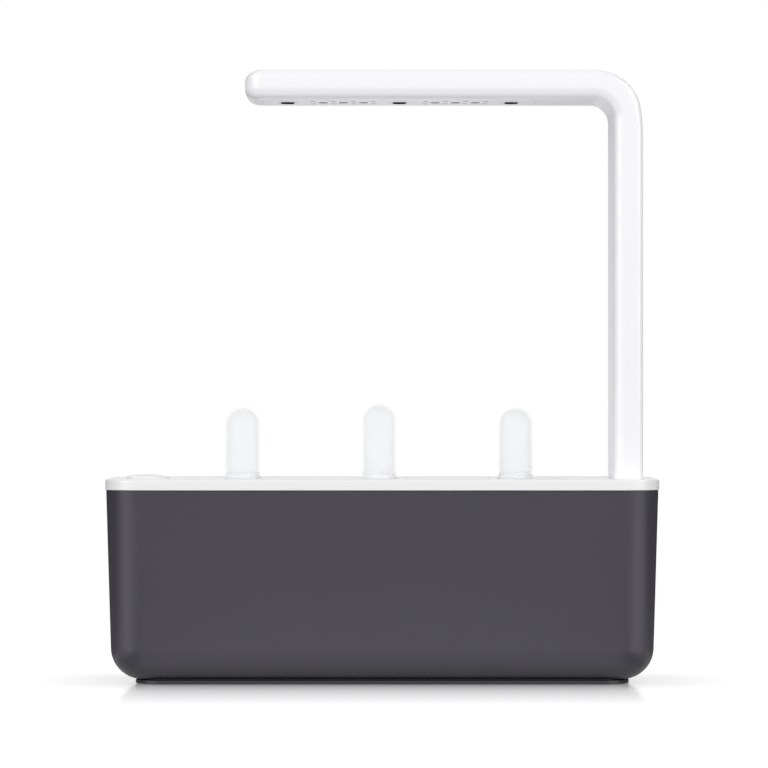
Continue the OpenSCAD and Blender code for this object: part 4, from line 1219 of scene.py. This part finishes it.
class GARDEN_OT_lamp(bpy.types.Operator):
    """Model the lamp arm: column, bend and slab, with the pocket for its panel"""

    bl_idname = "garden.lamp"
    bl_label = "Lamp arm"

    def execute(self, context):
        arm, panel = settings("arm"), settings("panel")
        shell = lamp_body(0, LAMP_LOW.z)
        ease_bend(shell)
        carve(shell, lamp_body(-arm.wall, LAMP_LOW.z - 1 * MM))
        gap = 0.06 * MM
        size = (PANEL_HIGH.x - PANEL_LOW.x + 2 * gap, PANEL_HIGH.y - PANEL_LOW.y + 2 * gap)
        open_plate((middle("lamp_panel").x, 0, PANEL_LOW.z - 1 * MM), size, (panel.corner + gap,) * 2, 12)
        carve(shell, form(up=[(0, arm.wall + 2 * MM)]))
        piece(shell, "lamp_shell", "lamp", "white_plastic", ["lamp_arm"], edge=arm.seam_edge)
        return {"FINISHED"}


def light_places(paired):
    """Places of the lights: every other row holds a pair, and the rows between hold a single one."""
    panel = settings("panel")
    places = []
    for side in (-1, 1):
        for row in range(panel.rows):
            if (row % 2 == 0) == paired:
                x = middle("lamp_panel").x + side * panel.screw_pitch / 2
                x += (row - (panel.rows - 1) / 2) * panel.row_pitch
                places += [(x, y) for y in ((-panel.pair_y, panel.pair_y) if paired else (0,))]
    return places


def light_copies(paired, make):
    """What is made at the place of the first light, and its copies at the other ones."""
    first, *others = light_places(paired)
    return copies(make(first), [(x - first[0], y - first[1], 0) for x, y in others])


class GARDEN_OT_panel(bpy.types.Operator):
    """Model the light panel with its openings and dished rings, its screws and the lights"""

    bl_idname = "garden.panel"
    bl_label = "Light panel"

    def execute(self, context):
        panel = settings("panel")
        panel_at, low = middle("lamp_panel").x, PANEL_LOW.z
        edge = 0.25 * MM
        size = (PANEL_HIGH.x - PANEL_LOW.x, PANEL_HIGH.y - PANEL_LOW.y)
        open_plate((panel_at, 0, low + edge), size, (panel.corner, panel.corner), 12)
        plate = form(up=[(0, panel.plate - edge)], down=arc(edge, 0, 90, 3))
        spot = (panel_at - panel.screw_pitch, 0)
        shifts = [(k * panel.screw_pitch, 0, 0) for k in (1, 2)]
        post = round_tool((*spot, low + 1 * MM), panel.well + 2.4 * MM, PANEL_HIGH.z - low - 1 * MM)
        carve(plate, *copies(post, shifts), operation="UNION")
        open_disc((*spot, low - 0.4 * MM), panel.dish / 2 + 0.4 * MM, 48)
        carve(plate, *copies(form(up=[(0.9 * MM, 0.9 * MM)]), shifts))
        carve(plate, *copies(round_tool((*spot, low - 1 * MM), panel.well, 2.3 * MM, 48), shifts))
        carve(plate, *copies(round_tool((*spot, low), panel.shank + 0.1 * MM, 12 * MM, 24), shifts))
        # The black linings of the openings are painted shade, put where the openings only lie in shade. The
        # paired lights' linings all but end in the panel's face
        rows = ((True, panel.pair_hole, 0.02 * MM), (False, panel.single_hole, panel.hood_out))
        through = panel.plate + 2 * MM
        for paired, hole, _ in rows:
            carve(plate, *light_copies(paired, lambda at: round_tool((*at, low - 1 * MM), hole, through)))
        piece(plate, "light_panel", "lamp", "white_plastic", ["lamp_panel"], edge=0.12 * MM)
        screw = pan_screw((*spot, low + 1.35 * MM), panel.head, 2.05 * MM, panel.shank, 9 * MM)
        piece(join(copies(screw, shifts)), "panel_screws", "lamp", "black_steel", ["lamp_screws"])

        # Black linings in the openings, as painted shade
        shade_hood_parts = []
        for paired, hole, out in rows:

            def hood(at):
                open_disc((*at, low + panel.plate), hole / 2, 32)
                return form(down=[(0, panel.plate + out), (panel.hood, 0), (0, -panel.plate - out)])

            shade_hood_parts += light_copies(paired, hood)
        piece(join(shade_hood_parts), "light_hoods", "lamp", "black_plastic", [])
        for paired, node, slot in ((True, "white_leds", "white_light"), (False, "red_leds", "red_light")):
            light_low, light_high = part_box(node)

            def light(at):
                open_plate((*at, light_high.z), (panel.light, panel.light), (0.3 * MM, 0.3 * MM), 3)
                return form(down=[(0, light_high.z - light_low.z), (0.25 * MM, 0), (0.1 * MM, -0.15 * MM)])

            name = node.replace("leds", "light_bodies")
            piece(join(light_copies(paired, light)), name, "lamp", slot, [node])
        return {"FINISHED"}


class GARDEN_OT_hardware(bpy.types.Operator):
    """Give the pieces that stay as constructed their finishes"""

    bl_idname = "garden.hardware"
    bl_label = "Boards, contacts and wires"

    def execute(self, context):
        slots = {part["node"]: part["material_slot"] for part in frame["record"]["subparts"]}
        slots["timer_board"] = "timer_board"
        for name, node in frame["nodes"].items():
            node.data.materials.clear()
            node.data.materials.append(finish(slots.get(name, "black_plastic")))
        return {"FINISHED"}


# ---- Stage ----


def flags(tree, way):
    """How bright a direction looks in gloss: 1 to the front and straight back. Panels to both sides grow
    bright from 30 to 50 degrees off the front, and dark flags fade them from 57 degrees on. Off the way
    straight back the flags are dark from 20 degrees on."""
    stage = settings("stage")
    soft = {"interpolation_type": "SMOOTHSTEP"}
    parts = add(tree, "SeparateXYZ", (way,), None)
    sideways = add(tree, "Math", (parts["X"],), operation="ABSOLUTE")
    behind = add(tree, "MapRange", (parts["Y"], -0.1, 0.3, 0.0, 0.71))
    aside = add(tree, "Math", (sideways, behind), operation="ADD")
    panels = add(tree, "MapRange", (sideways, 0.5, 0.78, 1.0, stage.panels), **soft)
    share = add(tree, "MapRange", (aside, 0.84, 1.04, 1.0, stage.flags), **soft)
    return add(tree, "Math", (panels, share), operation="MULTIPLY")


def plinth_gaps(tree, axes):
    """How far a point of the floor lies from the plinth's footprint, along its length and its depth."""
    for axis, reach in (("X", 120 * MM), ("Y", 32 * MM)):
        size = add(tree, "Math", (axes[axis],), operation="ABSOLUTE")
        past = add(tree, "Math", (size, reach), operation="SUBTRACT")
        yield add(tree, "Math", (past, 0.0), operation="MAXIMUM")


def floor_material():
    """White acrylic sheet: matt white with a faint gloss near the object, whose shadow it keeps, and a
    painted shadow round the plinth.
    """
    stage = settings("stage")
    material, tree, shader, place = blank("white_acrylic_table")
    tree.nodes.remove(shader)
    matt = add(tree, "BsdfDiffuse", (tuple(stage.floor),))
    path = add(tree, "LightPath", output=None)
    seen = add(tree, "Math", (path["Is Camera Ray"], path["Is Glossy Ray"]), operation="MAXIMUM")
    axes = add(tree, "SeparateXYZ", (place,), None)
    beside, before = plinth_gaps(tree, axes)
    gap = add(tree, "CombineXYZ", (beside, before))
    away = add(tree, "VectorMath", (gap,), "Value", operation="LENGTH")
    # A fill lifts the floor to white, less so near the tank, which paints a shadow there. Gloss sees its own
    # fill: none close under the tank, which paints shade into what the tank mirrors, and more than white
    # further out
    shade = add(tree, "MapRange", (away, 0.0, stage.shade_reach, 0.34, stage.fill))
    gloss_shade = add(tree, "MapRange", (away, 12 * MM, 32 * MM, 0.0, 2.5 * stage.fill))
    shade = add(tree, "Mix", {0: path["Is Camera Ray"], 2: gloss_shade, 3: shade})
    lit = add(tree, "AddShader", (matt, add(tree, "Emission", (WHITE, shade))))
    white = add(tree, "MixShader", (seen, matt, lit))
    # Plain white far from the object
    far = add(tree, "MapRange", (away, stage.mirror_reach, 3 * stage.mirror_reach))
    far = add(tree, "Math", (far, seen), operation="MULTIPLY")
    white = add(tree, "MixShader", (far, white, add(tree, "Emission", (WHITE, 1.0))))
    # In gloss the floor goes dark to both sides, as the room does, and right beside the plinth
    side_way = add(tree, "CombineXYZ", (beside, axes["Y"]))
    way = add(tree, "VectorMath", (side_way,), operation="NORMALIZE")
    dark = add(tree, "Math", (1.0, flags(tree, way)), operation="SUBTRACT", use_clamp=True)
    rise = add(tree, "MapRange", (beside, 4 * MM, 34 * MM, 0.0, 0.72))
    fall = add(tree, "MapRange", (beside, 20 * MM, 130 * MM, 1.0, 0.0))
    band = add(tree, "Math", (rise, fall), operation="MULTIPLY")
    dark = add(tree, "Math", (dark, band), operation="MAXIMUM")
    dark = add(tree, "Math", (dark, path["Is Glossy Ray"]), operation="MULTIPLY")
    white = add(tree, "MixShader", (dark, white, add(tree, "Emission", (WHITE, 0.0))))
    # The gloss itself, strongest at the plinth
    near = add(tree, "MapRange", (away, 0.0, stage.mirror_reach, stage.mirror, 0.0))
    share = add(tree, "Math", (near, add(tree, "Fresnel", (1.45,))), operation="MULTIPLY")
    gloss = add(tree, "BsdfAnisotropic", (WHITE, 0.08))
    mixed = add(tree, "MixShader", (share, white, gloss))
    tree.links.new(mixed, tree.nodes["Material Output"].inputs["Surface"])
    return material


def white_room():
    """The world: white to the camera and through the domes, flagged in gloss, and for matt surfaces an even
    light with more of it from both sides and from above."""
    stage = settings("stage")
    world = bpy.data.worlds.new("white_room")
    world.use_nodes = True
    tree = world.node_tree
    soft = {"interpolation_type": "SMOOTHSTEP"}
    path = add(tree, "LightPath", output=None)
    way = add(tree, "TexCoord", output="Generated")
    axes = add(tree, "SeparateXYZ", (way,), None)
    sideways = add(tree, "Math", (axes["X"],), operation="ABSOLUTE")
    overhead = add(tree, "MapRange", (axes["Z"], 0.4, 0.8, 0.0, stage.overhead), **soft)
    even = add(tree, "MapRange", (sideways, 0.4, 0.9, stage.world, stage.sides), **soft)
    even = add(tree, "Math", (even, overhead), operation="ADD")
    seen = add(tree, "Math", (path["Is Camera Ray"], path["Is Transmission Ray"]), operation="MAXIMUM")
    strength = add(tree, "Mix", {0: path["Is Glossy Ray"], 2: even, 3: flags(tree, way)})
    strength = add(tree, "Mix", {0: seen, 2: strength, 3: 1.0})
    background = tree.nodes["Background"].inputs
    background["Color"].default_value = WHITE
    tree.links.new(strength, background["Strength"])
    return world


class GARDEN_OT_stage(bpy.types.Operator):
    """Set up the floor, the soft light, the white surroundings and the camera"""

    bl_idname = "garden.stage"
    bl_label = "Stage"

    def execute(self, context):
        stage, scene = settings("stage"), context.scene
        clear()
        bpy.ops.mesh.primitive_circle_add(vertices=96, radius=12, fill_type="NGON", location=(0, 0, 0))
        floor = context.object
        floor.name = "floor"
        floor.data.materials.append(floor_material())
        scene.world = white_room()

        bpy.ops.object.light_add(type="AREA", location=(0, -2.6, 0.8), rotation=(math.radians(78), 0, 0))
        lamp = context.object
        lamp.name = "front_softbox"
        lamp.data.shape = "RECTANGLE"
        lamp.data.size, lamp.data.size_y = 3.8, 1.5
        lamp.data.energy = stage.front

        place = (stage.aside, -stage.distance, stage.height)
        bpy.ops.object.camera_add(location=place, rotation=(math.radians(90), 0, 0))
        camera = context.object
        camera.name = "camera"
        camera.data.lens = stage.lens
        camera.data.sensor_width = 36
        camera.data.clip_end = 100
        scene.camera = camera
        scene.view_settings.view_transform = "Standard"
        return {"FINISHED"}


class GARDEN_PT_panel(bpy.types.Panel):
    """Sidebar panel that lists every step of the garden"""

    bl_idname = "GARDEN_PT_panel"
    bl_label = "Hydroponic garden"
    bl_space_type = "VIEW_3D"
    bl_region_type = "UI"
    bl_category = "Garden"

    def draw(self, context):
        for operator in OPERATORS:
            self.layout.operator(operator.bl_idname)
        for group in SETTINGS:
            box = self.layout.box()
            box.label(text=group.title())
            for key in SETTINGS[group].__annotations__:
                box.prop(settings(group), key)


OPERATORS = (
    GARDEN_OT_stage,
    GARDEN_OT_hardware,
    GARDEN_OT_tank,
    GARDEN_OT_base,
    GARDEN_OT_base_screws,
    GARDEN_OT_inlet,
    GARDEN_OT_lid,
    GARDEN_OT_float,
    GARDEN_OT_cups,
    GARDEN_OT_plant_pods,
    GARDEN_OT_domes,
    GARDEN_OT_extension,
    GARDEN_OT_lamp,
    GARDEN_OT_panel,
)


def register():
    for group, kind in SETTINGS.items():
        bpy.utils.register_class(kind)
        setattr(bpy.types.Scene, "garden_" + group, PointerProperty(type=kind))
    for kind in (*OPERATORS, GARDEN_PT_panel):
        bpy.utils.register_class(kind)


def unregister():
    for kind in reversed((*OPERATORS, GARDEN_PT_panel)):
        bpy.utils.unregister_class(kind)
    for group, kind in SETTINGS.items():
        delattr(bpy.types.Scene, "garden_" + group)
        bpy.utils.unregister_class(kind)


def main():
    register()
    for operator in OPERATORS:
        group, name = operator.bl_idname.split(".")
        getattr(getattr(bpy.ops, group), name)()


if __name__ == "__main__":
    main()
